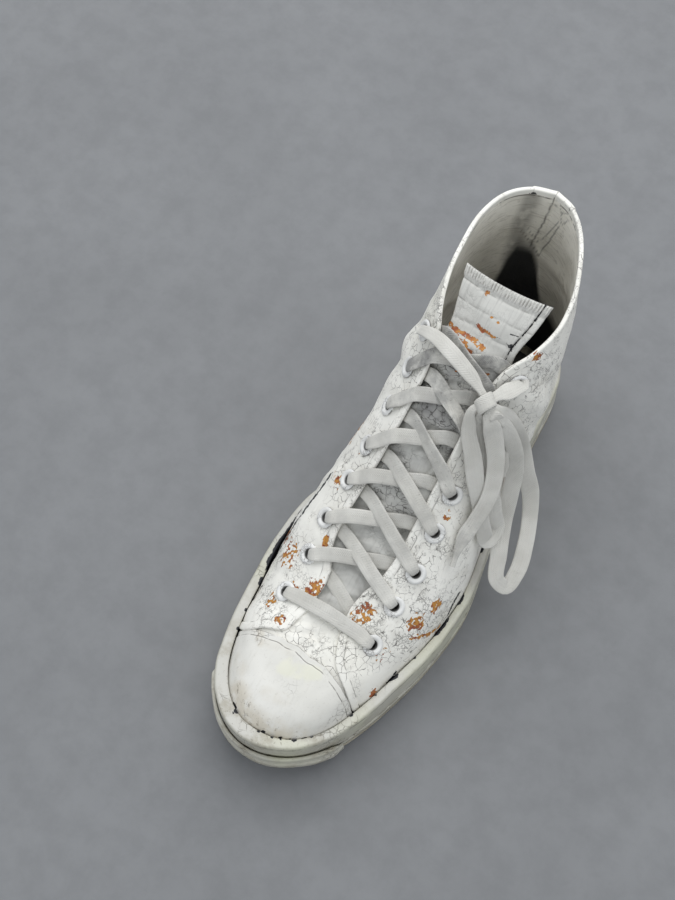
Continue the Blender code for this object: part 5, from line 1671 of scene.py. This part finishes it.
def painted_leather():
    """Off-white house paint on leather: a fine net of dark cracks, and flaked places.

    Where the rust or black field, jittered cell by cell, passes one half, the paint is
    gone and the orange or black coat under it shows.
    """
    s = Shader("painted_leather")
    wear = bpy.context.scene.sneaker_wear
    loose = s.shifted(170.0, 0.0036)
    tight = s.shifted(420.0, 0.0016)
    wide = s.net(255.0, loose)
    fine = s.net(620.0, tight)
    craze_and_counter_highlight = s.field("craze_and_counter_highlight")
    zone = s.ramp(s.plus(s.noise(34.0, 2.0), s.times(craze_and_counter_highlight, 0.16)), 0.44, 0.66)
    zone_fine = s.ramp(s.plus(s.noise(58.0, 2.0), s.times(craze_and_counter_highlight, 0.12)), 0.52, 0.7)
    line = s.times(s.fall(wide, 0.006, 0.034), zone)
    hair = s.times(s.fall(fine, 0.015, 0.08, 0.7), zone_fine)
    broken = s.patch(0.38, 0.56, 300.0, 2.0)
    cracks = s.times(s.most(line, hair), broken)
    cracks = s.times(cracks, wear.cracks, True)
    specks = s.patch(0.7, 0.76, 900.0, 2.0)
    specks = s.times(specks, s.patch(0.5, 0.68, 60.0, 2.0))
    s.base = s.mix(s.patch(0.35, 0.7, 24.0, 4.0), (0.88, 0.862, 0.805), (0.8, 0.782, 0.725))
    s.coat(s.patch(0.48, 0.78, 70.0, 5.0, 0.7), (0.71, 0.685, 0.625))
    yellow = s.times(s.patch(0.52, 0.72, 15.0), 0.35)
    s.coat(yellow, (0.74, 0.715, 0.61))
    s.coat(specks, (0.2, 0.16, 0.13), 0.7)
    s.coat(cracks, (0.075, 0.066, 0.06), 0.86)
    edge = s.field("edge")
    border = s.line_at(edge, RIM_WIDTH + 0.0002, 0.0001, 0.0004, 1.0)
    fold = s.times(border, s.patch(0.42, 0.55, 140.0, 2.0))
    s.coat(fold, (0.12, 0.11, 0.1), 0.55)
    seam = s.fall(s.field("seam"), 0.0002, 0.0006, 0.5)
    s.coat(s.times(seam, s.patch(0.4, 0.55, 110.0)), (0.1, 0.09, 0.08))
    foot = s.field("foot")
    under = s.times(s.fall(foot, 0.0002, 0.001), s.patch(0.44, 0.52, 120.0))
    s.coat(under, (0.04, 0.04, 0.045), 0.9)
    dust = s.times(s.fall(foot, 0.001, 0.014, 0.4), s.noise(90.0, 4.0))
    s.coat(dust, (0.52, 0.49, 0.42))
    flake = s.times(s.minus(s.cells(620.0, tight), 0.5), 1.15)
    ragged = s.scatter(1.3, 420.0, 3.0, 0.6)
    jitter = s.plus(flake, ragged)
    stray = s.times(s.patch(0.62, 0.78, 42.0, 2.0), 0.22)
    rust_and_depth_shade = s.plus(s.most(s.field("rust_and_depth_shade"), stray), s.times(jitter, 0.62))
    bare = s.ramp(rust_and_depth_shade, 0.52, 0.56)
    bare = s.times(bare, s.ramp(s.field("rust_and_depth_shade"), 0.05, 0.15, wear.strays, 1.0))
    orange = s.mix(s.patch(0.44, 0.6, 150.0), (0.5, 0.235, 0.05), (0.34, 0.11, 0.045))
    orange = s.mix(s.patch(0.52, 0.66, 500.0), orange, (0.24, 0.055, 0.04))
    s.coat(bare, orange)
    black = s.plus(s.field("black"), s.times(jitter, 0.55))
    black_showing = s.ramp(black, 0.56, 0.59)
    s.coat(black_showing, BLACK_COAT)
    gone = s.most(bare, black_showing)
    grain = s.plus(s.times(s.noise(1300.0, 4.0, 0.7), 0.1), s.times(s.noise(260.0, 4.0), 0.3))
    height = s.minus(grain, s.times(cracks, 0.45))
    height = s.minus(height, s.times(gone, 0.7))
    rough = s.ramp(s.noise(80.0), 0.3, 0.7, 0.52, 0.72)
    return s.finish(rough, height, 0.00042)


def tongue_leather():
    """Paint worn thin on the tongue: grey, with dense fine cracks across it."""
    s = Shader("tongue_leather")
    wear = bpy.context.scene.sneaker_wear
    across = s.stretched(1.0, 1.9, 1.9, s.shifted(120.0, 0.0085))
    long_cracks = s.net(210.0, across)
    fine = s.net(620.0, s.shifted(400.0, 0.002))
    grey = s.field("grey")
    zone = s.ramp(s.plus(s.noise(40.0, 2.0), s.times(grey, 0.16)), 0.48, 0.64)
    line = s.times(s.fall(long_cracks, 0.01, 0.06), zone)
    hair = s.times(s.fall(fine, 0.02, 0.1, 0.6), s.patch(0.46, 0.62, 70.0))
    cracks = s.times(s.most(line, hair), s.patch(0.36, 0.54, 230.0))
    cracks = s.times(cracks, s.ramp(grey, 0.1, 0.5, 0.3, 1.0))
    cracks = s.times(cracks, wear.cracks, True)
    s.base = s.mix(s.patch(0.35, 0.68, 30.0, 4.0), (0.62, 0.612, 0.575), (0.5, 0.495, 0.465))
    smudge = s.times(grey, s.patch(0.36, 0.66, 46.0, 4.0, 0.62))
    s.coat(smudge, (0.245, 0.24, 0.235), 0.78)
    s.coat(cracks, (0.07, 0.064, 0.06), 0.85)
    streak = s.noise(1.0, 4.0, 0.62, s.stretched(820.0, 70.0, 70.0))
    plain = s.ramp(grey, 0.1, 0.4, 1.0, 0.25)
    s.coat(s.times(s.ramp(streak, 0.5, 0.66), s.times(plain, 0.35)), (0.36, 0.35, 0.33))
    cuts = s.times(s.ramp(s.field("seam"), 0.45, 0.95), s.patch(0.4, 0.56, 260.0))
    s.coat(cuts, (0.14, 0.125, 0.11), 0.6)
    stitch = s.fall(s.field("edge"), 0.0002, 0.0006, 0.55)
    s.coat(s.times(stitch, s.patch(0.36, 0.56, 300.0)), (0.12, 0.11, 0.1))
    flake = s.cells(640.0, s.shifted(400.0, 0.002))
    jitter = s.plus(s.times(s.minus(flake, 0.5), 1.1), s.scatter(1.3, 420.0))
    rust_and_depth_shade = s.plus(s.field("rust_and_depth_shade"), s.times(jitter, 0.62))
    bare = s.times(s.ramp(rust_and_depth_shade, 0.52, 0.56), s.ramp(s.field("rust_and_depth_shade"), 0.05, 0.15))
    orange = s.mix(s.patch(0.44, 0.6, 160.0), (0.5, 0.225, 0.055), (0.3, 0.09, 0.04))
    s.coat(bare, orange)
    # Black where the coat shows through, and painted shade in the groove of the curled edge.
    black_showing = s.ramp(s.plus(s.field("black"), s.times(jitter, 0.4)), 0.5, 0.56)
    s.coat(black_showing, (0.02, 0.02, 0.022))
    height = s.minus(s.times(s.noise(300.0, 4.0), 0.35), s.times(cracks, 0.5))
    height = s.plus(height, s.times(streak, 0.25))
    height = s.minus(height, s.times(bare, 0.6))
    return s.finish(0.66, height, 0.00045)


def lining_leather():
    """Grey-beige lining, with painted shade that deepens to near black towards the bottom."""
    s = Shader("lining_leather")
    # On the inner faces this field holds depth below the collar, used for painted shade.
    depth = s.field("rust_and_depth_shade")
    s.base = s.mix(s.patch(0.35, 0.68, 40.0, 4.0), (0.9, 0.87, 0.79), (0.76, 0.73, 0.65))
    wrinkle = s.noise(1.0, 4.0, 0.6, s.stretched(110.0, 110.0, 900.0))
    s.coat(s.ramp(wrinkle, 0.52, 0.66, 0.0, 0.42), (0.42, 0.39, 0.33))
    rubbed = s.patch(0.56, 0.7, 260.0, 5.0, 0.7)
    s.coat(rubbed, (0.3, 0.275, 0.235), 0.3)
    # Dark back seam line, and painted shade along the lining's folds.
    lines = s.times(s.field("black"), s.ramp(s.noise(160.0), 0.3, 0.5, 0.55, 1.0), True)
    s.coat(lines, (0.085, 0.078, 0.068))
    # Painted shade: near black deep inside the shoe, set by that depth.
    s.coat(s.ramp(depth, 0.92, 1.12), (0.03, 0.03, 0.031))
    # Painted highlight: a line along the counter's edge that is lighter than the painted shade it
    # crosses.
    s.coat(s.field("craze_and_counter_highlight"), (0.4, 0.38, 0.34), 0.3)
    edge = s.field("edge")
    line = s.line_at(edge, 0.0039, 0.0002, 0.0006, 0.75)
    s.coat(s.times(line, s.patch(0.4, 0.54, 200.0)), (0.07, 0.062, 0.055))
    height = s.plus(s.times(s.noise(500.0, 4.0), 0.5), s.times(wrinkle, 0.8))
    return s.finish(0.8, height, 0.0004)


def cap_rubber():
    """Rubber of the toe cap under paint: rubbed smooth, with scuffs, stains and streaks, and painted
    shade along its rear band and edge.
    """
    s = Shader("cap_rubber")
    s.base = s.mix(s.patch(0.35, 0.7, 22.0, 4.0), (0.75, 0.735, 0.69), (0.675, 0.66, 0.61))
    streak = s.noise(1.0, 5.0, 0.65, s.stretched(420.0, 60.0, 200.0))
    s.coat(s.ramp(streak, 0.5, 0.74), (0.55, 0.53, 0.48), 0.3)
    grain = s.patch(0.6, 0.7, 700.0)
    s.coat(grain, (0.42, 0.39, 0.34), 0.22)
    patchy = s.scatter(1.6, 130.0, 4.0, 0.65)
    yellow = s.ramp(s.plus(s.field("yellow"), patchy), 0.3, 0.85)
    s.coat(yellow, (0.74, 0.73, 0.6), 0.65)
    scuffs = s.noise(1.0, 5.0, 0.72, s.stretched(420.0, 240.0, 420.0))
    brown = s.times(s.field("brown"), s.patch(0.3, 0.6, 120.0, 4.0, 0.65))
    s.coat(brown, (0.54, 0.475, 0.36), 0.75)
    sharp = s.times(s.ramp(s.field("brown"), 0.1, 0.6), s.ramp(scuffs, 0.57, 0.65))
    s.coat(sharp, (0.22, 0.185, 0.14), 0.65)
    edge = s.field("edge")
    # Painted shade in the groove where the lower rear band steps down.
    line = s.line_at(edge, CAP_BAND, 0.0001, 0.0004, 0.75)
    s.coat(s.times(line, s.patch(0.36, 0.52, 150.0)), (0.1, 0.09, 0.08))
    # A dark crack along the cap's rear edge, darkened further as painted shade where the edge steps
    # onto the upper.
    rear = s.times(s.fall(edge, 0.0001, 0.0005), s.patch(0.38, 0.52, 170.0))
    s.coat(rear, (0.1, 0.09, 0.08), 0.6)
    crackle = s.net(300.0, s.shifted(170.0, 0.004))
    cracked = s.times(s.fall(crackle, 0.006, 0.034), s.patch(0.54, 0.68, 50.0, 2.0))
    s.coat(cracked, (0.14, 0.12, 0.1), 0.6)
    foot = s.field("foot")
    rim = s.times(s.fall(foot, 0.0002, 0.0008), s.patch(0.4, 0.52, 200.0))
    s.coat(rim, (0.1, 0.085, 0.065), 0.7)
    black_showing = s.ramp(s.plus(s.field("black"), s.scatter(1.2, 420.0)), 0.52, 0.58)
    s.coat(black_showing, BLACK_COAT)
    height = s.plus(s.times(s.noise(350.0, 4.0), 0.25), s.times(streak, 0.12))
    height = s.minus(height, s.times(s.most(cracked, black_showing), 0.5))
    return s.finish(s.ramp(streak, 0.3, 0.7, 0.42, 0.6), height, 0.00032, 0.42)


def band_rubber():
    """Aged cream rubber of the foxing and the toe strip: grime, hairline cracks, scuffs."""
    s = Shader("band_rubber")
    wear = bpy.context.scene.sneaker_wear
    s.base = s.mix(s.patch(0.35, 0.68, 26.0, 4.0), (0.56, 0.545, 0.48), (0.475, 0.46, 0.39))
    top = s.field("top")
    s.coat(top, (0.56, 0.55, 0.515), 0.75)
    green = s.times(s.patch(0.5, 0.66, 18.0), 0.5)
    s.coat(green, (0.6, 0.6, 0.45))
    dirt = s.times(s.field("dirt"), s.patch(0.44, 0.68, 75.0, 5.0, 0.68))
    s.coat(s.times(dirt, wear.grime), (0.33, 0.3, 0.235))
    spots_dark = s.patch(0.62, 0.7, 620.0, 3.0, 0.6)
    s.coat(s.times(spots_dark, s.times(s.field("dirt"), 0.5)), (0.2, 0.175, 0.13))
    level = s.field("level")
    groove = s.line_at(level, 0.0095, 0.0002, 0.0008, 0.75)
    rim = s.line_at(level, 0.0293, 0.0002, 0.0007, 0.8)
    lines = s.times(s.most(groove, rim), s.patch(0.4, 0.54, 130.0))
    s.coat(lines, (0.13, 0.115, 0.09), 0.8)
    crackle = s.net(260.0, s.shifted(120.0, 0.008))
    cracked = s.times(s.fall(crackle, 0.01, 0.04), s.patch(0.54, 0.66, 46.0, 2.0))
    s.coat(cracked, (0.15, 0.13, 0.1), 0.65)
    black_showing = s.ramp(s.plus(s.field("black"), s.scatter(1.1, 380.0)), 0.54, 0.6)
    s.coat(black_showing, BLACK_COAT)
    height = s.plus(s.times(s.noise(520.0, 4.0, 0.65), 0.3), s.times(s.noise(120.0), 0.4))
    height = s.minus(height, s.times(s.most(cracked, lines), 0.35))
    return s.finish(0.58, height, 0.00045, 0.4)


def sole_rubber():
    """Worn outsole rubber, with dark patches of dirt."""
    s = Shader("sole_rubber")
    s.base = s.mix(s.patch(0.35, 0.68, 30.0, 4.0), (0.5, 0.46, 0.36), (0.38, 0.345, 0.265))
    s.coat(s.patch(0.46, 0.66, 160.0, 5.0, 0.7), (0.17, 0.15, 0.12), 0.6)
    return s.finish(0.75, s.noise(420.0, 4.0), 0.0004)


def footbed_cloth():
    """Dark worn cloth of the footbed."""
    s = Shader("footbed_cloth")
    s.base = s.mix(s.patch(0.35, 0.68, 50.0, 4.0), (0.045, 0.044, 0.043), (0.105, 0.1, 0.093))
    weave = s.noise(1.0, 1.0, 0.5, s.stretched(900.0, 900.0, 900.0))
    return s.finish(0.92, weave, 0.0003, 0.2)


def painted_metal():
    """Paint over the metal rings, cracked round their edge, and painted shade inside the bore."""
    s = Shader("painted_metal")
    s.base = s.mix(s.patch(0.35, 0.68, 90.0, 4.0), (0.8, 0.795, 0.775), (0.69, 0.685, 0.665))
    rim = s.times(s.fall(s.field("edge"), 0.00002, 0.0003), s.patch(0.42, 0.52, 260.0))
    s.coat(rim, (0.08, 0.07, 0.065), 0.8)
    fine = s.net(620.0, s.shifted(380.0, 0.002))
    cracks = s.times(s.fall(fine, 0.015, 0.07), s.patch(0.5, 0.62, 110.0, 2.0))
    s.coat(cracks, (0.12, 0.105, 0.095), 0.7)
    # Painted shade: the inside of the bore is near black.
    bore = s.ramp(s.field("edge"), 0.0027, 0.0031)
    s.coat(bore, (0.03, 0.03, 0.03), 0.9)
    height = s.minus(s.times(s.noise(400.0), 0.3), s.times(cracks, 0.4))
    return s.finish(0.55, height, 0.0003, 0.45)


def lace_cotton():
    """Flat herringbone lace, stiff with old paint and greyed by handling."""
    s = Shader("lace_cotton")
    along = s.field("along")
    across = s.math("ABSOLUTE", s.field("across"))
    slant = s.plus(along, s.times(across, 0.9))
    twill = s.math("SINE", s.times(slant, 2 * math.pi / 0.00105))
    warp = s.math("SINE", s.times(across, 2 * math.pi / 0.00125))
    weave = s.times(twill, s.plus(s.times(warp, 0.35), 0.65))
    grey = s.field("grey")
    s.base = s.mix(s.patch(0.35, 0.7, 60.0, 4.0), (0.66, 0.645, 0.6), (0.575, 0.56, 0.515))
    smudge = s.times(s.patch(0.34, 0.64, 95.0, 4.0, 0.65), s.plus(s.times(grey, 1.3), 0.1))
    s.coat(s.times(smudge, 0.85, True), (0.27, 0.265, 0.255))
    fleck = s.patch(0.66, 0.74, 800.0, 2.0)
    s.coat(s.times(fleck, s.plus(s.times(grey, 0.7), 0.15)), (0.12, 0.11, 0.1))
    s.coat(s.fall(weave, -0.9, -0.2), (0.36, 0.345, 0.31), 0.16)
    height = s.plus(s.times(weave, 0.28), s.times(s.noise(700.0), 0.35))
    s.surface.inputs["Sheen Weight"].default_value = 0.15
    return s.finish(0.9, height, 0.00028, 0.2)


def plain_floor(settings):
    """Pale grey floor with a very soft unevenness."""
    s = Shader("stage_floor")
    tone = tuple(settings.floor)
    darker = tuple(0.93 * value for value in tone)
    s.base = s.mix(s.patch(0.35, 0.68, 9.0, 5.0, 0.6), tone, darker)
    mottled = s.ramp(s.noise(55.0, 6.0, 0.68), 0.34, 0.7, 0.0, 0.22)
    s.coat(mottled, tuple(0.55 * value for value in tone))
    return s.finish(0.85, None, 0.0, 0.2)


def use_material(maker):
    """The material that this function makes, made once and named for it."""
    found = bpy.data.materials.get("worn_" + maker.__name__)
    return found if found is not None else maker()


# Half width of the floor, place of the light and its aim, and the camera as fitted
# to the photo: place, sideways and viewing directions, lens in millimetres.
FLOOR_REACH = 3.0
LIGHT_PLACE = (-0.25, 0.65, 1.35)
LIGHT_AIM = (0.0, 0.0, 0.05)
SKY_COLOUR = (0.92, 0.96, 1.0, 1.0)
CAMERA_PLACE = (0.105, -0.2237, 0.6583)
CAMERA_RIGHT = (0.837, 0.547, 0.0)
CAMERA_FORWARD = (-0.227, 0.347, -0.91)
CAMERA_LENS = 49.43


def build_stage(settings):
    """Floor, soft light from above and the camera at the photo's angle to the shoe."""
    mesh = bpy.data.meshes.new("stage_floor")
    reach = FLOOR_REACH
    mesh.from_pydata(
        [(-reach, -reach, 0.0), (reach, -reach, 0.0), (reach, reach, 0.0), (-reach, reach, 0.0)],
        [], [(0, 1, 2, 3)],
    )
    mesh.materials.append(plain_floor(settings))
    floor = new_object("stage_floor", mesh)
    lamp = bpy.data.lights.new("stage_light", "AREA")
    lamp.shape = "RECTANGLE"
    lamp.size = 1.6
    lamp.size_y = 1.2
    lamp.energy = settings.light
    light = new_object("stage_light", lamp)
    light.location = LIGHT_PLACE
    aim = Vector(LIGHT_AIM) - light.location
    light.rotation_euler = aim.to_track_quat("-Z", "Y").to_euler()
    world = bpy.data.worlds.new("stage_world")
    world.use_nodes = True
    sky = world.node_tree.nodes["Background"]
    sky.inputs[0].default_value = SKY_COLOUR
    sky.inputs[1].default_value = settings.fill
    bpy.context.scene.world = world
    lens = bpy.data.cameras.new("camera")
    lens.lens = CAMERA_LENS
    lens.sensor_width = 36.0
    lens.clip_start = 0.01
    camera = new_object("camera", lens)
    right = Vector(CAMERA_RIGHT).normalized()
    forward = Vector(CAMERA_FORWARD).normalized()
    up = right.cross(forward)
    roll = settings.roll
    turned = right * math.cos(roll) - up * math.sin(roll)
    raised = right * math.sin(roll) + up * math.cos(roll)
    frame_axes = Matrix((turned, raised, -forward)).transposed().to_4x4()
    camera.matrix_world = Matrix.Translation(CAMERA_PLACE) @ frame_axes
    bpy.context.scene.camera = camera
    bpy.context.scene.view_settings.view_transform = "Standard"


class StageSettings(PropertyGroup):
    """Light and floor of the picture."""

    light: FloatProperty(
        name="Light", description="Power of the soft light above, in watts", default=14.0, min=0.0,
    )
    fill: FloatProperty(
        name="Fill", description="Strength of the light from all round", default=0.8, min=0.0,
    )
    floor: FloatVectorProperty(
        name="Floor", description="Colour of the plain floor", subtype="COLOR",
        default=(0.232, 0.236, 0.243),
    )
    roll: FloatProperty(
        name="Roll", description="Roll of the camera about its line of sight", subtype="ANGLE",
        default=0.0119,
    )


class UpperSettings(PropertyGroup):
    """Relief of the upper and the tongue."""

    columns: IntProperty(
        name="Columns", description="Points along both quarters together", default=300, min=60,
    )
    rows: IntProperty(name="Rows", description="Points up each quarter", default=66, min=20)
    crease: FloatProperty(
        name="Creases", description="Depth of the creases, 1 as in the photo", default=1.0, min=0.0,
    )
    wrinkle: FloatProperty(
        name="Wrinkles", description="Depth of the tongue's wrinkles, 1 as in the photo", default=1.0,
        min=0.0,
    )


class SoleSettings(PropertyGroup):
    """Tread of the sole."""

    tread: FloatProperty(
        name="Tread", description="Depth of the tread's grooves", default=0.0008, min=0.0,
        unit="LENGTH",
    )


class LaceSettings(PropertyGroup):
    """Size of the flat lace."""

    width: FloatProperty(
        name="Width", description="Width of the lace in the bow", default=0.0092, min=0.002,
        unit="LENGTH",
    )
    thickness: FloatProperty(
        name="Thickness", description="Thickness of the lace in the bow", default=0.0012,
        min=0.0003, unit="LENGTH",
    )


class WearSettings(PropertyGroup):
    """How worn the paint is."""

    cracks: FloatProperty(
        name="Cracks", description="Darkness of the cracks, 1 as in the photo", default=1.0, min=0.0,
    )
    strays: FloatProperty(
        name="Stray flecks", description="Share of small flecks away from the main chips",
        default=0.5, min=0.0, max=1.0,
    )
    grime: FloatProperty(
        name="Grime", description="Strength of the dirt on the rubber", default=0.75, min=0.0, max=1.0,
    )


class SNEAKER_OT_stage(Operator):
    """Add the floor, the light and the camera"""

    bl_idname = "sneaker.stage"
    bl_label = "Build stage"

    def execute(self, context):
        """Stage from its settings."""
        build_stage(context.scene.sneaker_stage)
        return {"FINISHED"}


class SNEAKER_OT_bow(Operator):
    """Build the bow's two strands and its knot"""

    bl_idname = "sneaker.bow"
    bl_label = "Build bow"

    def execute(self, context):
        """Bow in lace."""
        build_bow(context.scene.sneaker_lace, use_material(lace_cotton))
        return {"FINISHED"}


class SNEAKER_OT_laces(Operator):
    """Build the laces through the eyelets"""

    bl_idname = "sneaker.laces"
    bl_label = "Build laces"

    def execute(self, context):
        """Bar, run and crossings in lace."""
        build_laces(use_material(lace_cotton))
        return {"FINISHED"}


class SNEAKER_OT_upper(Operator):
    """Build the quarters, the vamp and the toe cap"""

    bl_idname = "sneaker.upper"
    bl_label = "Build upper"

    def execute(self, context):
        """Quarters, vamp and cap."""
        settings = context.scene.sneaker_upper
        painted = use_material(painted_leather)
        lining = use_material(lining_leather)
        build_quarters(settings, painted, lining)
        build_vamp(settings, painted, lining)
        build_cap(use_material(cap_rubber))
        return {"FINISHED"}


class SNEAKER_OT_tongue(Operator):
    """Build the tongue"""

    bl_idname = "sneaker.tongue"
    bl_label = "Build tongue"

    def execute(self, context):
        """Tongue in its own worn leather."""
        leather, lining = use_material(tongue_leather), use_material(lining_leather)
        build_tongue(context.scene.sneaker_upper, leather, lining)
        return {"FINISHED"}


class SNEAKER_OT_eyelets(Operator):
    """Build the sixteen eyelets"""

    bl_idname = "sneaker.eyelets"
    bl_label = "Build eyelets"

    def execute(self, context):
        """Rings in painted metal."""
        build_eyelets(use_material(painted_metal))
        return {"FINISHED"}


class SNEAKER_OT_sole(Operator):
    """Build the outsole, the foxing, the toe strip and the footbed"""

    bl_idname = "sneaker.sole"
    bl_label = "Build sole"

    def execute(self, context):
        """Sole pieces in rubber and cloth."""
        band = use_material(band_rubber)
        build_outsole(context.scene.sneaker_sole, use_material(sole_rubber))
        build_foxing(band)
        build_bumper(band)
        build_insole(use_material(footbed_cloth))
        return {"FINISHED"}


class SNEAKER_PT_panel(Panel):
    """Settings and steps of the sneaker, in the sidebar of the 3D view."""

    bl_idname = "SNEAKER_PT_panel"
    bl_label = "Worn sneaker"
    bl_space_type = "VIEW_3D"
    bl_region_type = "UI"
    bl_category = "Sneaker"

    def draw(self, context):
        """Each group's values, then the steps in their order."""
        for label, group in GROUPS.items():
            box = self.layout.box()
            box.label(text=label.replace("sneaker_", "").capitalize())
            for key in group.__annotations__:
                box.prop(getattr(context.scene, label), key)
        for step in STEPS:
            self.layout.operator(step.bl_idname)


GROUPS = {
    "sneaker_stage": StageSettings,
    "sneaker_upper": UpperSettings,
    "sneaker_sole": SoleSettings,
    "sneaker_lace": LaceSettings,
    "sneaker_wear": WearSettings,
}
STEPS = (
    SNEAKER_OT_stage, SNEAKER_OT_bow, SNEAKER_OT_laces, SNEAKER_OT_upper, SNEAKER_OT_tongue,
    SNEAKER_OT_eyelets, SNEAKER_OT_sole,
)


def register():
    """Register the settings, the steps and the panel."""
    for label, group in GROUPS.items():
        bpy.utils.register_class(group)
        setattr(bpy.types.Scene, label, PointerProperty(type=group))
    for step in STEPS:
        bpy.utils.register_class(step)
    bpy.utils.register_class(SNEAKER_PT_panel)


def unregister():
    """Take back what register added."""
    bpy.utils.unregister_class(SNEAKER_PT_panel)
    for step in reversed(STEPS):
        bpy.utils.unregister_class(step)
    for label, group in GROUPS.items():
        delattr(bpy.types.Scene, label)
        bpy.utils.unregister_class(group)


def main():
    """Build every step in order."""
    register()
    bpy.ops.sneaker.stage()
    bpy.ops.sneaker.bow()
    bpy.ops.sneaker.laces()
    bpy.ops.sneaker.upper()
    bpy.ops.sneaker.tongue()
    bpy.ops.sneaker.eyelets()
    bpy.ops.sneaker.sole()


if __name__ == "__main__":
    main()
